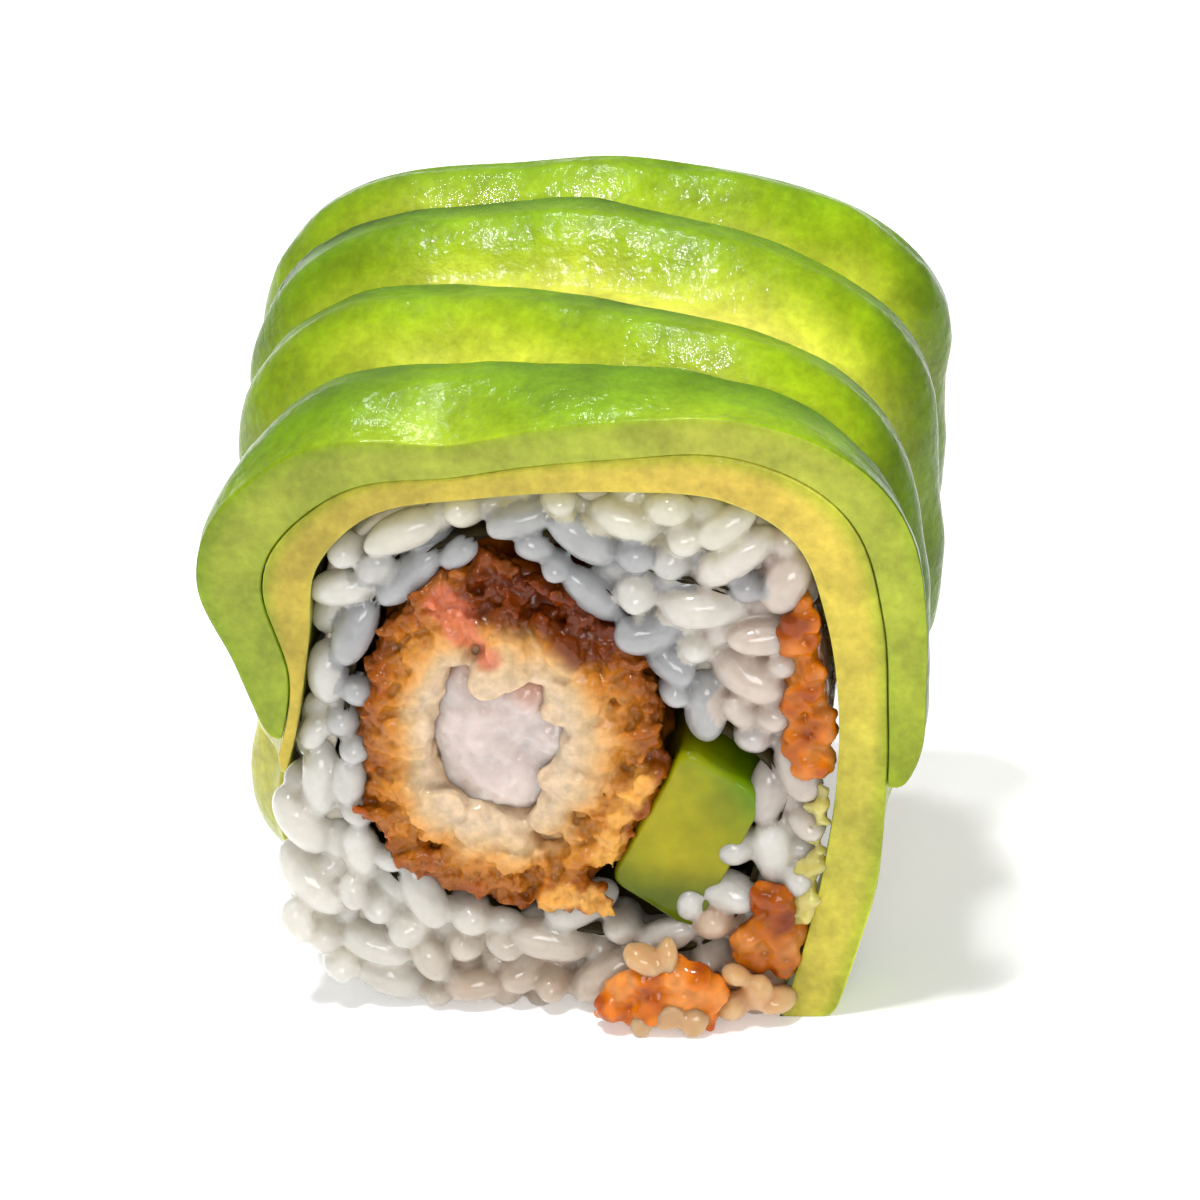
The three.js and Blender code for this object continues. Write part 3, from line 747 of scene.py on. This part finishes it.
class Grains:
    """Grains that keep clear of one another."""

    def __init__(self, most):
        self.spots = np.zeros((most, 5, 3))
        self.radii = np.zeros(most)
        self.list = []

    def offer(self, centre, direction, length, width, random, closeness):
        """Keeps a grain unless its middle line comes too close to that of one already there."""
        a = turned(direction)[0]
        spots = np.asarray(centre) + np.linspace(-0.5, 0.5, 5)[:, None] * a * (length - width)
        n = len(self.list)
        near = np.nonzero(np.linalg.norm(self.spots[:n, 2] - spots[2], axis=1) < 8.5)[0]
        if len(near):
            gaps = np.linalg.norm(self.spots[near][:, :, None] - spots[None, None], axis=-1)
            if (gaps.min(axis=(1, 2)) < closeness * (self.radii[near] + width / 2)).any():
                return
        self.spots[n] = spots
        self.radii[n] = width / 2
        self.list.append((np.asarray(centre, float), a, length, width, rice_tone(centre, random)))


GRAIN_BALL = ball_template(12, 10)
GRAIN_LENGTH = (4.6, 6.6)
MOST_GRAINS = 1400
FACE_TRIES = 11000
BEHIND_TRIES = 6000
OUTSIDE_TRIES = 9000
# Name, side, voxel of the fused skin and share of its faces kept
RICE_SKINS = (("front", -1, 0.19, 0.52), ("back", 1, 0.3, 0.7))


def grain_points(centre, direction, length, width, random):
    """A plump grain with blunt ends, a slight bend and a flatter side."""
    unit, faces = GRAIN_BALL
    axes = turned(direction)
    t = unit[:, 0]
    blunt = np.sign(t) * np.abs(t) ** 0.86
    taper = 1 + random.uniform(-0.12, 0.12) * t
    bend = random.uniform(-0.09, 0.09) * length * (t ** 2 - 0.3)
    flat = random.uniform(0.84, 0.98)
    local = np.column_stack([blunt * length / 2, unit[:, 1] * width / 2 * taper + bend,
                             unit[:, 2] * width / 2 * flat * taper])
    local *= 1 + 0.05 * fractal(unit + centre, 0.8, 1, 5.0)[:, None]
    return swell(centre) + local @ axes, faces


def ring_room(x, z):
    """Room inside the rice's outline and outside the sheet's, at a place on the cut."""
    away, outer = reach_at(rice_reach, MIDDLE, x, z)
    inner = reach_at(loop_reach, MIDDLE, x, z)[1]
    hidden = SHEET_HIDDEN + max(0.8 * smooth(3, 7, x) * smooth(20, 16, z), 0.6 * smooth(26, 31, z),
                                2.2 * smooth(-6, -1, x) * smooth(12, 9, z),
                                1.7 * smooth(8, 10, x) * smooth(19, 16, z))
    return outer - away, away - inner + hidden


def fill_face(grains, random, front, tries, layer):
    """Grains on a cut face: along the ring at its left, top and foot, and every way at its right."""
    inward = 1 if front < 0 else -1
    for attempt in range(tries):
        x = random.uniform(-21, 17)
        z = random.uniform(0.4, 38.5)
        width = random.uniform(2.7, 3.4) - 0.8 * attempt / tries
        # Long grains first, and short ones in the gaps that they leave
        length = width + random.uniform(1.4, 2.9) * (1.1 - attempt / tries)
        angle = math.atan2(z - MIDDLE[1], x - MIDDLE[0])
        loose = 1.5 if x > 5 and z > 6 else 0.6
        run = angle + math.pi / 2 + random.uniform(-loose, loose)
        tilt = random.uniform(-0.35, 0.35)
        end_on = random.random() < 0.22
        direction = np.array((math.cos(run), tilt, math.sin(run)))
        if end_on:
            direction = np.array((random.uniform(-0.4, 0.4), 1, random.uniform(-0.4, 0.4)))
        depth = width / 2 - 0.35 + (random.uniform(0, 0.6) if layer == 0 else random.uniform(0.9, 1.9))
        if end_on:
            depth += (length - width) * 0.4
        half = (length - width) / 2 * np.array((direction[0], direction[2])) / np.linalg.norm(direction)
        ends = [ring_room(x + k * half[0], z + k * half[1]) for k in (-1, 0, 1)]
        bare = x < -10 and z < 20 or z < 4
        if min(e[0] for e in ends) < width * (0.3 if bare else 0.42):
            continue
        if min(e[1] for e in ends) < width * 0.46 + (0 if layer == 0 else SHEET_HIDDEN):
            continue
        if inside_line(sauce_line, x, z):
            continue
        centre = (x, front + inward * depth, z)
        grains.offer(centre, direction, length, width, random, 0.7 if layer == 0 else 0.52)


def fill_outside(grains, random, tries):
    """Grains on the outside of the rice, flush where avocado lies on them and proud where none does."""
    edge = spoke_points(rice_reach, MIDDLE)
    for _ in range(tries):
        i = random.randrange(SPOKES)
        if edge[i][0] > 12 or edge[i][1] > 24:
            continue
        y = random.uniform(FRONT + 3.5, BACK - 3.5)
        width = random.uniform(2.5, 3.0)
        length = random.uniform(*GRAIN_LENGTH)
        x, z = edge[i]
        bare = z < 17 and x < 10
        out = (edge[i] - MIDDLE) / np.linalg.norm(edge[i] - MIDDLE)
        step = edge[(i + 1) % SPOKES] - edge[i]
        run = np.array((step[0], 0, step[1])) / np.linalg.norm(step)
        turn = random.uniform(0, math.pi)
        direction = run * math.cos(turn) + np.array((0, 1, 0)) * math.sin(turn)
        sink = width / 2 * (0.62 if bare else 1.05)
        centre = (x - out[0] * sink, y, z - out[1] * sink)
        grains.offer(centre, direction, length, width, random, 0.66)


def rice():
    random = Random(5)
    grains = Grains(MOST_GRAINS)
    for front in (FRONT, BACK):
        fill_face(grains, random, front, FACE_TRIES, 0)
        fill_face(grains, random, front, BEHIND_TRIES, 1)
    fill_outside(grains, random, OUTSIDE_TRIES)
    for name, side, voxel, kept in RICE_SKINS:
        heap = Heap()
        middles = KDTree(len(grains.list) * 3)
        own = [g for g in grains.list if g[0][1] * side > 0]
        for n, (centre, direction, length, width, tone) in enumerate(own):
            points, faces = grain_points(centre, direction, length, width, random)
            points[:, 1] = np.clip(points[:, 1], FRONT - GRAINS_PROUD, BACK + BACK_PROUD)
            heap.add(points, faces)
            for k in (-0.3, 0, 0.3):
                middles.insert(Vector(swell(centre) + k * length * direction), n)
        middles.balance()
        points, faces = fused(heap, voxel, 0.3, kept)[:2]
        tone = np.array([own[middles.find(Vector(p))[1]][4] for p in points])
        add_piece("rice_grains_" + name, points, faces, tone, GRAIN_SURFACE, "rice")


# Seaweed sheet: a thin, crinkled layer along its path
NORI_THICKNESS = 0.35
NORI_SET_BACK = 1.1
NORI_ACROSS = 44
NORI_DARK = srgb(38, 32, 18)
NORI_LIGHT = srgb(66, 56, 24)


def nori():
    line = curve_points(NORI_PATH, 260)
    ahead = np.gradient(line, axis=0)
    ahead /= np.linalg.norm(ahead, axis=1)[:, None]
    side = np.column_stack([-ahead[:, 1], ahead[:, 0]])
    y = np.linspace(FRONT + NORI_SET_BACK, BACK - NORI_SET_BACK, NORI_ACROSS)
    count = len(line)
    middle = np.array([[line[i, 0], yy, line[i, 1]] for yy in y for i in range(count)])
    wave = 0.12 * fractal(middle * (1, 0.6, 1), 2.2, 3, 2.0).reshape(NORI_ACROSS, count)
    layers = []
    for half in (-0.5, 0.5):
        lift = wave + half * NORI_THICKNESS
        x = line[None, :, 0] + side[None, :, 0] * lift
        z = line[None, :, 1] + side[None, :, 1] * lift
        ragged = 0.25 * np.sin(np.arange(count) * 0.9) * (np.arange(NORI_ACROSS) == 0)[:, None]
        layers.append(np.stack([x, y[:, None] + ragged, z], axis=-1))
    # Each ring runs along the outer side of the sheet and back along the inner side
    rings = np.concatenate([layers[1], layers[0][:, ::-1]], axis=1)
    points = rings.reshape(-1, 3)
    faces = outward(points, ring_faces(NORI_ACROSS, 2 * count, False))[1]
    tone = blend(NORI_DARK, NORI_LIGHT, np.clip(0.5 + fractal(points, 1.5, 2), 0, 1))
    add_piece("nori_sheet", swell(points), faces, tone, NORI_SURFACE, "nori")


# Prawn in batter
PRAWN_MIDDLE = np.array((-4.5, 20.9))
CRUST_TONES = [(0, (206, 182, 152)), (0.24, (200, 168, 124)), (0.4, (210, 158, 92)),
               (0.54, (196, 130, 48)), (0.8, (178, 106, 24)), (1, (154, 82, 12))]
DOUGH_HOLLOW_SHADE = srgb(178, 124, 66)
CRUST_HOLLOW_SHADE = srgb(104, 48, 4)
DEEP_BROWN = srgb(150, 66, 8)
DARK_RED_AND_RECESS_SHADE = srgb(96, 32, 2)
SALMON_PINK = srgb(204, 112, 80)
PALE_FLAKE = srgb(228, 170, 82)
SALMON_STRIP = curve_points([(-7.8, 30.8), (-6.4, 28.8), (-5.1, 27.2)], 24)
RED_RECESS_SHADE_ZONE = curve_points([(-4.9, 31), (-1.4, 30.4), (1.7, 28)], 24)
batter_reach = spokes(curve_points(BATTER_OUTLINE, 300, True), PRAWN_MIDDLE, SPOKES)
prawn_reach = spokes(curve_points(PRAWN_OUTLINE, 200, True), PRAWN_MIDDLE, SPOKES)
CRUMB_BALL = ball_template(10, 8)


def away_from(line, points):
    """Distance on the section of each point from a line."""
    spots = points[:, None, (0, 2)] - line[None]
    return np.sqrt((spots ** 2).sum(axis=2)).min(axis=1)


def crust_place(points):
    """0 at the prawn to 1 at the outside of the batter."""
    away, outer = reach_at(batter_reach, PRAWN_MIDDLE, points[:, 0], points[:, 2])
    inner = reach_at(prawn_reach, PRAWN_MIDDLE, points[:, 0], points[:, 2])[1]
    return np.clip((away - inner) / (outer - inner), 0, 1.1)


def crust_colour(points, sunk_shade):
    """Doughy by the prawn, golden brown outside, with painted shade where sunk, and a red zone at the upper
    right that is partly painted recess shade.
    """
    place = crust_place(points)
    cloud = fractal(points, 2.6, 2, 8.0)
    tone = ramp(place + 0.14 * cloud, CRUST_TONES)
    tone = tone * lerp(1, 0.84, smooth(0.45, 0.8, place))[:, None]
    # Painted shade in the sunk places of the dough and the crust
    tone = blend(tone, DOUGH_HOLLOW_SHADE, 0.6 * sunk_shade * smooth(0.45, 0.3, place))
    tone = blend(tone, CRUST_HOLLOW_SHADE, 0.8 * sunk_shade * smooth(0.2, 0.6, place))
    tone = blend(tone, DEEP_BROWN, 0.5 * smooth(0.1, 0.7, cloud) * smooth(0.4, 0.8, place))
    # Red-brown colour with painted shade of a recess at the upper right
    red = smooth(2.6, 1.2, away_from(RED_RECESS_SHADE_ZONE, points) + 0.5 * cloud)
    tone = blend(tone, DARK_RED_AND_RECESS_SHADE, 0.9 * red)
    pink = smooth(1.3, 0.6, away_from(SALMON_STRIP, points) + 0.4 * cloud)
    return blend(tone, SALMON_PINK, 0.8 * pink)


def batter():
    outer = spoke_points(batter_reach, PRAWN_MIDDLE)
    inner = spoke_points(prawn_reach - 0.3, PRAWN_MIDDLE)
    points, normal, faces = body(outer, inner, 1.4, 34, 50, 0.1, 0.6, hollow=True)
    place = crust_place(points)
    coarse = fractal(points, 2.4, 3, 8.0)
    fine = fractal(points, 0.9, 2, 21.0)
    lift = lerp(0.35 * coarse, 0.75 * coarse + 0.35 * fine - 0.1, smooth(0.35, 0.7, place))
    lift = np.where(place > 0.03, lift, 0)
    points = raised(points, normal, lift)
    # Painted shade: the crust darker where its relief sinks
    tone = crust_colour(points, smooth(0.05, -0.55, coarse * 0.6 + fine * 0.4))
    add_piece("crust", swell(points), faces, tone, CRUST_SURFACE, "tempura_batter")


def lump(heap, centre, size, stretch, random, rough):
    """One knobbly crumb, turned any way."""
    unit, faces = CRUMB_BALL
    axes = turned([random.uniform(-1, 1) for _ in range(3)])
    shape = unit * (stretch, 1, random.uniform(0.7, 1)) * size
    shape = shape * (1 + rough * fractal(unit * 1.3 + np.asarray(centre) * 3, 0.9, 2, 1.0))[:, None]
    heap.add(swell(centre) + shape @ axes, faces)


# Places (x, z) and sizes of the pale flakes
FLAKES = ((3.4, 16.6, 0.75), (2.6, 15.2, 0.6), (1.9, 13.4, 0.8), (1.4, 12.1, 0.6), (-2.3, 8.6, 0.7),
          (-1.2, 9.2, 0.6), (0.3, 8.9, 0.8), (0.9, 7.9, 0.5), (4.2, 17.6, 0.6))
CRUMBS_PER_FACE = 520
DOUGHY = 0.42


def crumb_face(heap, random, front, inward):
    """Crumbs of the crust and doughy lumps nearer the prawn, on one cut face."""
    for k in range(CRUMBS_PER_FACE):
        angle = random.uniform(-math.pi, math.pi)
        share = random.uniform(0.02, 0.5) if k % 4 == 0 else DOUGHY + 0.55 * random.random() ** 0.7
        ray = np.array((math.cos(angle), math.sin(angle)))
        inner, outer = (reach_at(reach, PRAWN_MIDDLE, *(PRAWN_MIDDLE + ray))[1]
                        for reach in (prawn_reach, batter_reach))
        x, z = PRAWN_MIDDLE + ray * lerp(inner, outer, share)
        size = random.uniform(0.35, 0.95) if share > DOUGHY else random.uniform(0.9, 1.7)
        rough = 0.75 if share > DOUGHY else 0.1
        y = front + inward * random.uniform(0.55, 1.7)
        lump(heap, (x, y, z), size, random.uniform(1, 1.7), random, rough)


def crumbs():
    random = Random(12)
    for name, front, inward in (("front", FRONT, 1), ("back", BACK, -1)):
        heap = Heap()
        crumb_face(heap, random, front, inward)
        if inward > 0:
            # Pale flakes that hang over the cucumber at the lower right
            for x, z, size in FLAKES:
                for _ in range(5):
                    spot = (x + random.uniform(-0.6, 0.6), FRONT + random.uniform(-0.1, 0.6),
                            z + random.uniform(-0.7, 0.7))
                    lump(heap, spot, size * random.uniform(0.5, 0.9), 1.4, random, 0.6)
        points, faces, normal = fused(heap, 0.2 if inward > 0 else 0.26)
        crisp = smooth(0.3, 0.55, crust_place(points))
        points = raised(points, normal, (0.04 + 0.2 * crisp) * fractal(points, 0.55, 2, 14.0))
        points[:, 1] = np.clip(points[:, 1], FRONT - CRUMBS_PROUD, BACK + BACK_PROUD)
        # Painted shade: crumbs darker the deeper they lie behind the cut face
        sunk_shade = smooth(0.1, 1.7, (points[:, 1] - front) * inward + 0.3 * fractal(points, 0.8, 1, 3.0))
        tone = crust_colour(points, sunk_shade)
        if inward > 0:
            flakes = np.array([f[:2] for f in FLAKES])
            pale = smooth(1.2, 0.6, away_from(flakes, points) + 0.2 * fractal(points, 0.8, 1, 5.0))
            tone = blend(tone, PALE_FLAKE, 0.8 * pale)
        add_piece("batter_crumbs_" + name, points, faces, tone, CRUST_SURFACE, "tempura_batter")


# Places (x, z) and radii of the lobes of the meat
PRAWN_LOBES = [(-6.2, 21.6, 2.6), (-2.6, 23.4, 1.6), (-4.8, 17.4, 2.2), (-1.2, 20.4, 1.2)]
PRAWN_WHITE = srgb(204, 190, 184)
PRAWN_PINK = srgb(200, 138, 112)


def prawn():
    outer = spoke_points(prawn_reach, PRAWN_MIDDLE)
    inner = spoke_points(prawn_reach * 0.02, PRAWN_MIDDLE)
    points, normal, faces = body(outer, inner, 0.6, 26, 40, 0.3, 1.1)
    bulges = [np.exp(-((points[:, 0] - x) ** 2 + (points[:, 2] - z) ** 2) / r ** 2)
              for x, z, r in PRAWN_LOBES]
    lift = np.sqrt(np.sum(np.square(bulges), axis=0)) * 0.9 - 0.3 + 0.22 * fractal(points, 1.5, 3, 6.0)
    points = raised(points, normal, lift)
    points[:, 1] = np.clip(points[:, 1], FRONT - PRAWN_PROUD, BACK + PRAWN_PROUD)
    top = smooth(22.5, 26, points[:, 2] + 0.4 * points[:, 0] + 1.5)
    tone = blend(PRAWN_WHITE, PRAWN_PINK, 0.85 * top)
    add_piece("prawn_meat", swell(points), faces, tone, PRAWN_SURFACE, "prawn")


# Cucumber baton: a strip with rounded corners
CORNER_ROUNDING = 1.1
CUCUMBER_TONES = [(-4, (118, 124, 0)), (-1, (156, 148, 8)), (1, (150, 146, 6)), (2.6, (124, 132, 0)),
                  (3.6, (98, 128, 0))]
CUCUMBER_FOOT = srgb(64, 84, 0)


def toward(start, stop, distance):
    return start + (stop - start) / np.linalg.norm(stop - start) * distance


def rounded_corners(corners, radius):
    outline = []
    for i, corner in enumerate(corners):
        start = toward(corner, corners[i - 1], radius)
        stop = toward(corner, corners[(i + 1) % len(corners)], radius)
        for t in np.linspace(0, 1, 9):
            outline.append(start * (1 - t) ** 2 + corner * 2 * t * (1 - t) + stop * t ** 2)
    return np.array(outline)


def cucumber():
    corners = np.array(CUCUMBER_CORNERS)
    middle = corners.mean(axis=0)
    reach = spokes(resampled(rounded_corners(corners, CORNER_ROUNDING), 300), middle, SPOKES)
    outer = spoke_points(reach, middle)
    points, normal, faces = body(outer, spoke_points(reach * 0.02, middle), 0.3, 30, 30)
    points = raised(points, normal, 0.1 * fractal(points * (1, 0.3, 1), 2.5, 2, 7.0))
    # Green towards the skin at the upper right, yellow in the middle and dark at the foot
    across = (points[:, 0] - middle[0]) * 0.62 + (points[:, 2] - middle[1]) * 0.3
    tone = ramp(across + 0.3 * fractal(points, 2.0, 2, 3.0), CUCUMBER_TONES)
    tone = blend(tone, CUCUMBER_FOOT, smooth(-1, -4.5, points[:, 2] - middle[1]) * 0.85)
    add_piece("cucumber_baton", swell(points), faces, tone, CUCUMBER_SURFACE, "cucumber")


# Sauce with crumbs, in the rice at the right and in a clump at the foot
ORANGE = srgb(206, 112, 4)
DEEP_ORANGE = srgb(158, 68, 0)
SALMON = srgb(220, 144, 70)
GOLDEN = srgb(224, 174, 122)
YELLOW_SMEAR = srgb(232, 206, 108)
LAYER_DARKER = 0.82
RIGHT_DARKER = 0.72


def blob(heap, centre, size, rough):
    """One soft, round lump."""
    unit, faces = CRUMB_BALL
    shape = unit * size * (1 + rough * fractal(unit + np.asarray(centre), 0.8, 2, 3.0))[:, None]
    heap.add(swell(centre) + shape, faces)


def sauce_tone(points):
    cloud = fractal(points, 2.2, 2, 5.0)
    fine = fractal(points, 0.7, 1, 15.0)
    tone = blend(ORANGE, DEEP_ORANGE, smooth(-0.1, 0.6, cloud))
    tone = blend(tone, SALMON, smooth(0.0, -0.5, cloud) * 0.8)
    return uneven(tone, 0.25 * fine)


def sauce():
    random = Random(31)
    heap = Heap()
    middle = sauce_line.mean(axis=0)
    sides = 60
    reach = spokes(sauce_line, middle, sides)
    layer = body(spoke_points(reach, middle), spoke_points(reach * 0.04, middle), 0.9, 8, 20, 0.25, 0.6)[0]
    quads = [f for f in ring_faces(len(layer) // sides, sides, False) if len(f) == 4]
    triangles = [(a, b, c) for a, b, c, _ in quads] + [(a, c, d) for a, _, c, d in quads]
    heap.add(swell(layer), np.array(triangles))
    for front, inward in ((FRONT, 1), (BACK, -1)):
        for _ in range(130):
            x = random.uniform(12.6, 17)
            z = random.uniform(17.4, 31.8)
            if inside_line(sauce_line, x, z):
                spot = (x, front + inward * random.uniform(0.35, 1.2), z)
                blob(heap, spot, random.uniform(0.3, 1.0), 0.3)
    points, faces, normal = fused(heap, 0.24)
    points = raised(points, normal, 0.1 * fractal(points, 0.7, 2, 14.0))
    tone = sauce_tone(points) * LAYER_DARKER
    add_piece("sauce_layer", points, faces, tone, SAUCE_SURFACE, "spicy_sauce")


# Places (x, z) and sizes of the lumps of the clump
CLUMP = ((1.3, 1.9, 1.3), (2.3, 3.1, 1.2), (3.6, 3.9, 1.4), (5.2, 4.3, 1.5), (6.8, 4.0, 1.3),
         (7.8, 2.8, 1.3), (5.9, 2.6, 1.5), (4.0, 2.2, 1.4), (7.2, 1.3, 1.1), (2.6, 1.2, 1.1))
# Places (x, y, z) and sizes of the grains on it
FOOT_GRAINS = [
    (3.1, FRONT - 1.9, 0.9, 1.0), (4.9, FRONT - 1.9, 1.2, 1.2), (6.7, FRONT - 1.9, 1.2, 1.1),
    (3.6, FRONT - 1.7, 5.4, 1.2), (5.2, FRONT - 1.7, 5.7, 1.0), (8.9, FRONT - 0.6, 1.2, 1.2),
    (10.6, FRONT - 0.5, 2.2, 1.2), (11.9, FRONT - 0.3, 1.5, 1.1), (9.3, FRONT - 0.6, 3.6, 1.1)]


def yellow_spots(random):
    """Places of the yellow smear between the rice and the avocado at the right."""
    spots = []
    for k in range(46):
        z = random.uniform(7.5, 17.5) if k < 36 else random.uniform(6.4, 9.6)
        x = lerp(12.9, 15.4, smooth(3, 15, z)) + random.uniform(-0.9, 0.4)
        size = random.uniform(0.3, 0.6) if k < 36 else random.uniform(0.5, 0.8)
        spots.append((x, FRONT + random.uniform(0.3, 0.9), z, size))
    return spots


def foot_clump():
    """Sauced crumbs and grains that hang out at the foot of the front face."""
    random = Random(44)
    heap = Heap()
    for x, z, size in CLUMP:
        y = FRONT - 1.6 + random.uniform(-0.3, 0.3)
        blob(heap, (x, y, z), size * 0.9, 0.15)
        for _ in range(4):
            spot = (x + random.uniform(-1.0, 1.0), y - random.uniform(-0.6, 0.7), z + random.uniform(-1, 1))
            blob(heap, spot, size * random.uniform(0.3, 0.5), 0.15)
    for _ in range(60):
        z = random.uniform(3.6, 9.4)
        x = random.uniform(9.6, 13.2) if z < 6 else random.uniform(11, 13.4)
        blob(heap, (x, FRONT + random.uniform(0.1, 1.0), z), random.uniform(0.4, 1.1), 0.2)
    points, faces, normal = fused(heap, 0.2)
    points = raised(points, normal, 0.08 * fractal(points, 0.6, 2, 14.0))
    tone = sauce_tone(points) * lerp(1, RIGHT_DARKER, smooth(8.5, 10, points[:, 0]))[:, None]
    add_piece("foot_sauce", points, faces, tone, SAUCE_SURFACE, "rice")
    for name, spots, rough, tone in (("foot_grains", FOOT_GRAINS, 0.14, GOLDEN),
                                     ("yellow_smear", yellow_spots(random), 0.4, YELLOW_SMEAR)):
        bits = Heap()
        for x, y, z, size in spots:
            lump(bits, (x, y, z), size * 0.92, 1.4, random, rough)
        points, faces = fused(bits, 0.2)[:2]
        tone = uneven(tone, 0.1 * fractal(points, 1.6, 2, 6.0))
        add_piece(name, points, faces, tone, GRAIN_SURFACE, "rice")


rice_core()
rice()
nori()
batter()
crumbs()
prawn()
cucumber()
sauce()
foot_clump()


# Camera at the photograph's place, turned to the piece and with a long lens
CAMERA_SPOT = (65.6, -371.6, 235.6)
CAMERA_PITCH = 28.27
AIM = (-0.5, -0.8, 21.5)
SENSOR_MM = 36.0
LENS_MM = 198.0
camera_data = bpy.data.cameras.new("camera")
camera_data.sensor_width = SENSOR_MM
camera_data.lens = LENS_MM
camera_data.clip_start = 0.01
camera = add_object("camera", camera_data)
camera.location = to_world([CAMERA_SPOT])[0]
level = Euler((math.radians(90 - CAMERA_PITCH), 0, 0)).to_quaternion()
ahead = level @ Vector((0, 0, -1))
to_aim = (Vector(to_world(AIM)) - camera.location).normalized()
camera.rotation_mode = "QUATERNION"
camera.rotation_quaternion = ahead.rotation_difference(to_aim) @ level
bpy.context.scene.camera = camera
bpy.context.scene.view_settings.view_transform = "Standard"


# White floor and soft studio light
def floor():
    half = 3.0
    mesh = bpy.data.meshes.new("floor")
    mesh.from_pydata([(-half, -half, 0), (half, -half, 0), (half, half, 0), (-half, half, 0)], [],
                     [(0, 1, 2, 3)])
    plane = add_object("floor", mesh)
    white = material("white_floor", Roughness=0.6, Base_Color=(0.95, 0.95, 0.95, 1), Specular_IOR_Level=0.2,
                     Emission_Color=(1, 1, 1, 1), Emission_Strength=0.22)[0]
    mesh.materials.append(white)


def soft_light(name, place, target_height, width, depth, power):
    data = bpy.data.lights.new(name, "AREA")
    data.shape = "RECTANGLE"
    data.size = width
    data.size_y = depth
    data.energy = power
    lamp = add_object(name, data)
    lamp.location = place
    aim = Vector((0, 0, target_height)) - Vector(place)
    lamp.rotation_euler = aim.to_track_quat("-Z", "Y").to_euler()


floor()
soft_light("key", (-0.14, -0.14, 0.85), 0.02, 0.1, 0.1, 4.6)
soft_light("front", (0.2, -0.9, 0.45), 0.02, 0.5, 0.3, 3.4)
soft_light("glint", (-0.1, 0.1, 0.88), 0.03, 0.06, 0.06, 1.6)
soft_light("back", (-0.1, 0.4, 0.8), 0.03, 0.16, 0.09, 2.2)
world = bpy.data.worlds.new("studio")
world.use_nodes = True
set_inputs(world.node_tree.nodes["Background"], Color=(1, 1, 1, 1), Strength=0.4)
bpy.context.scene.world = world
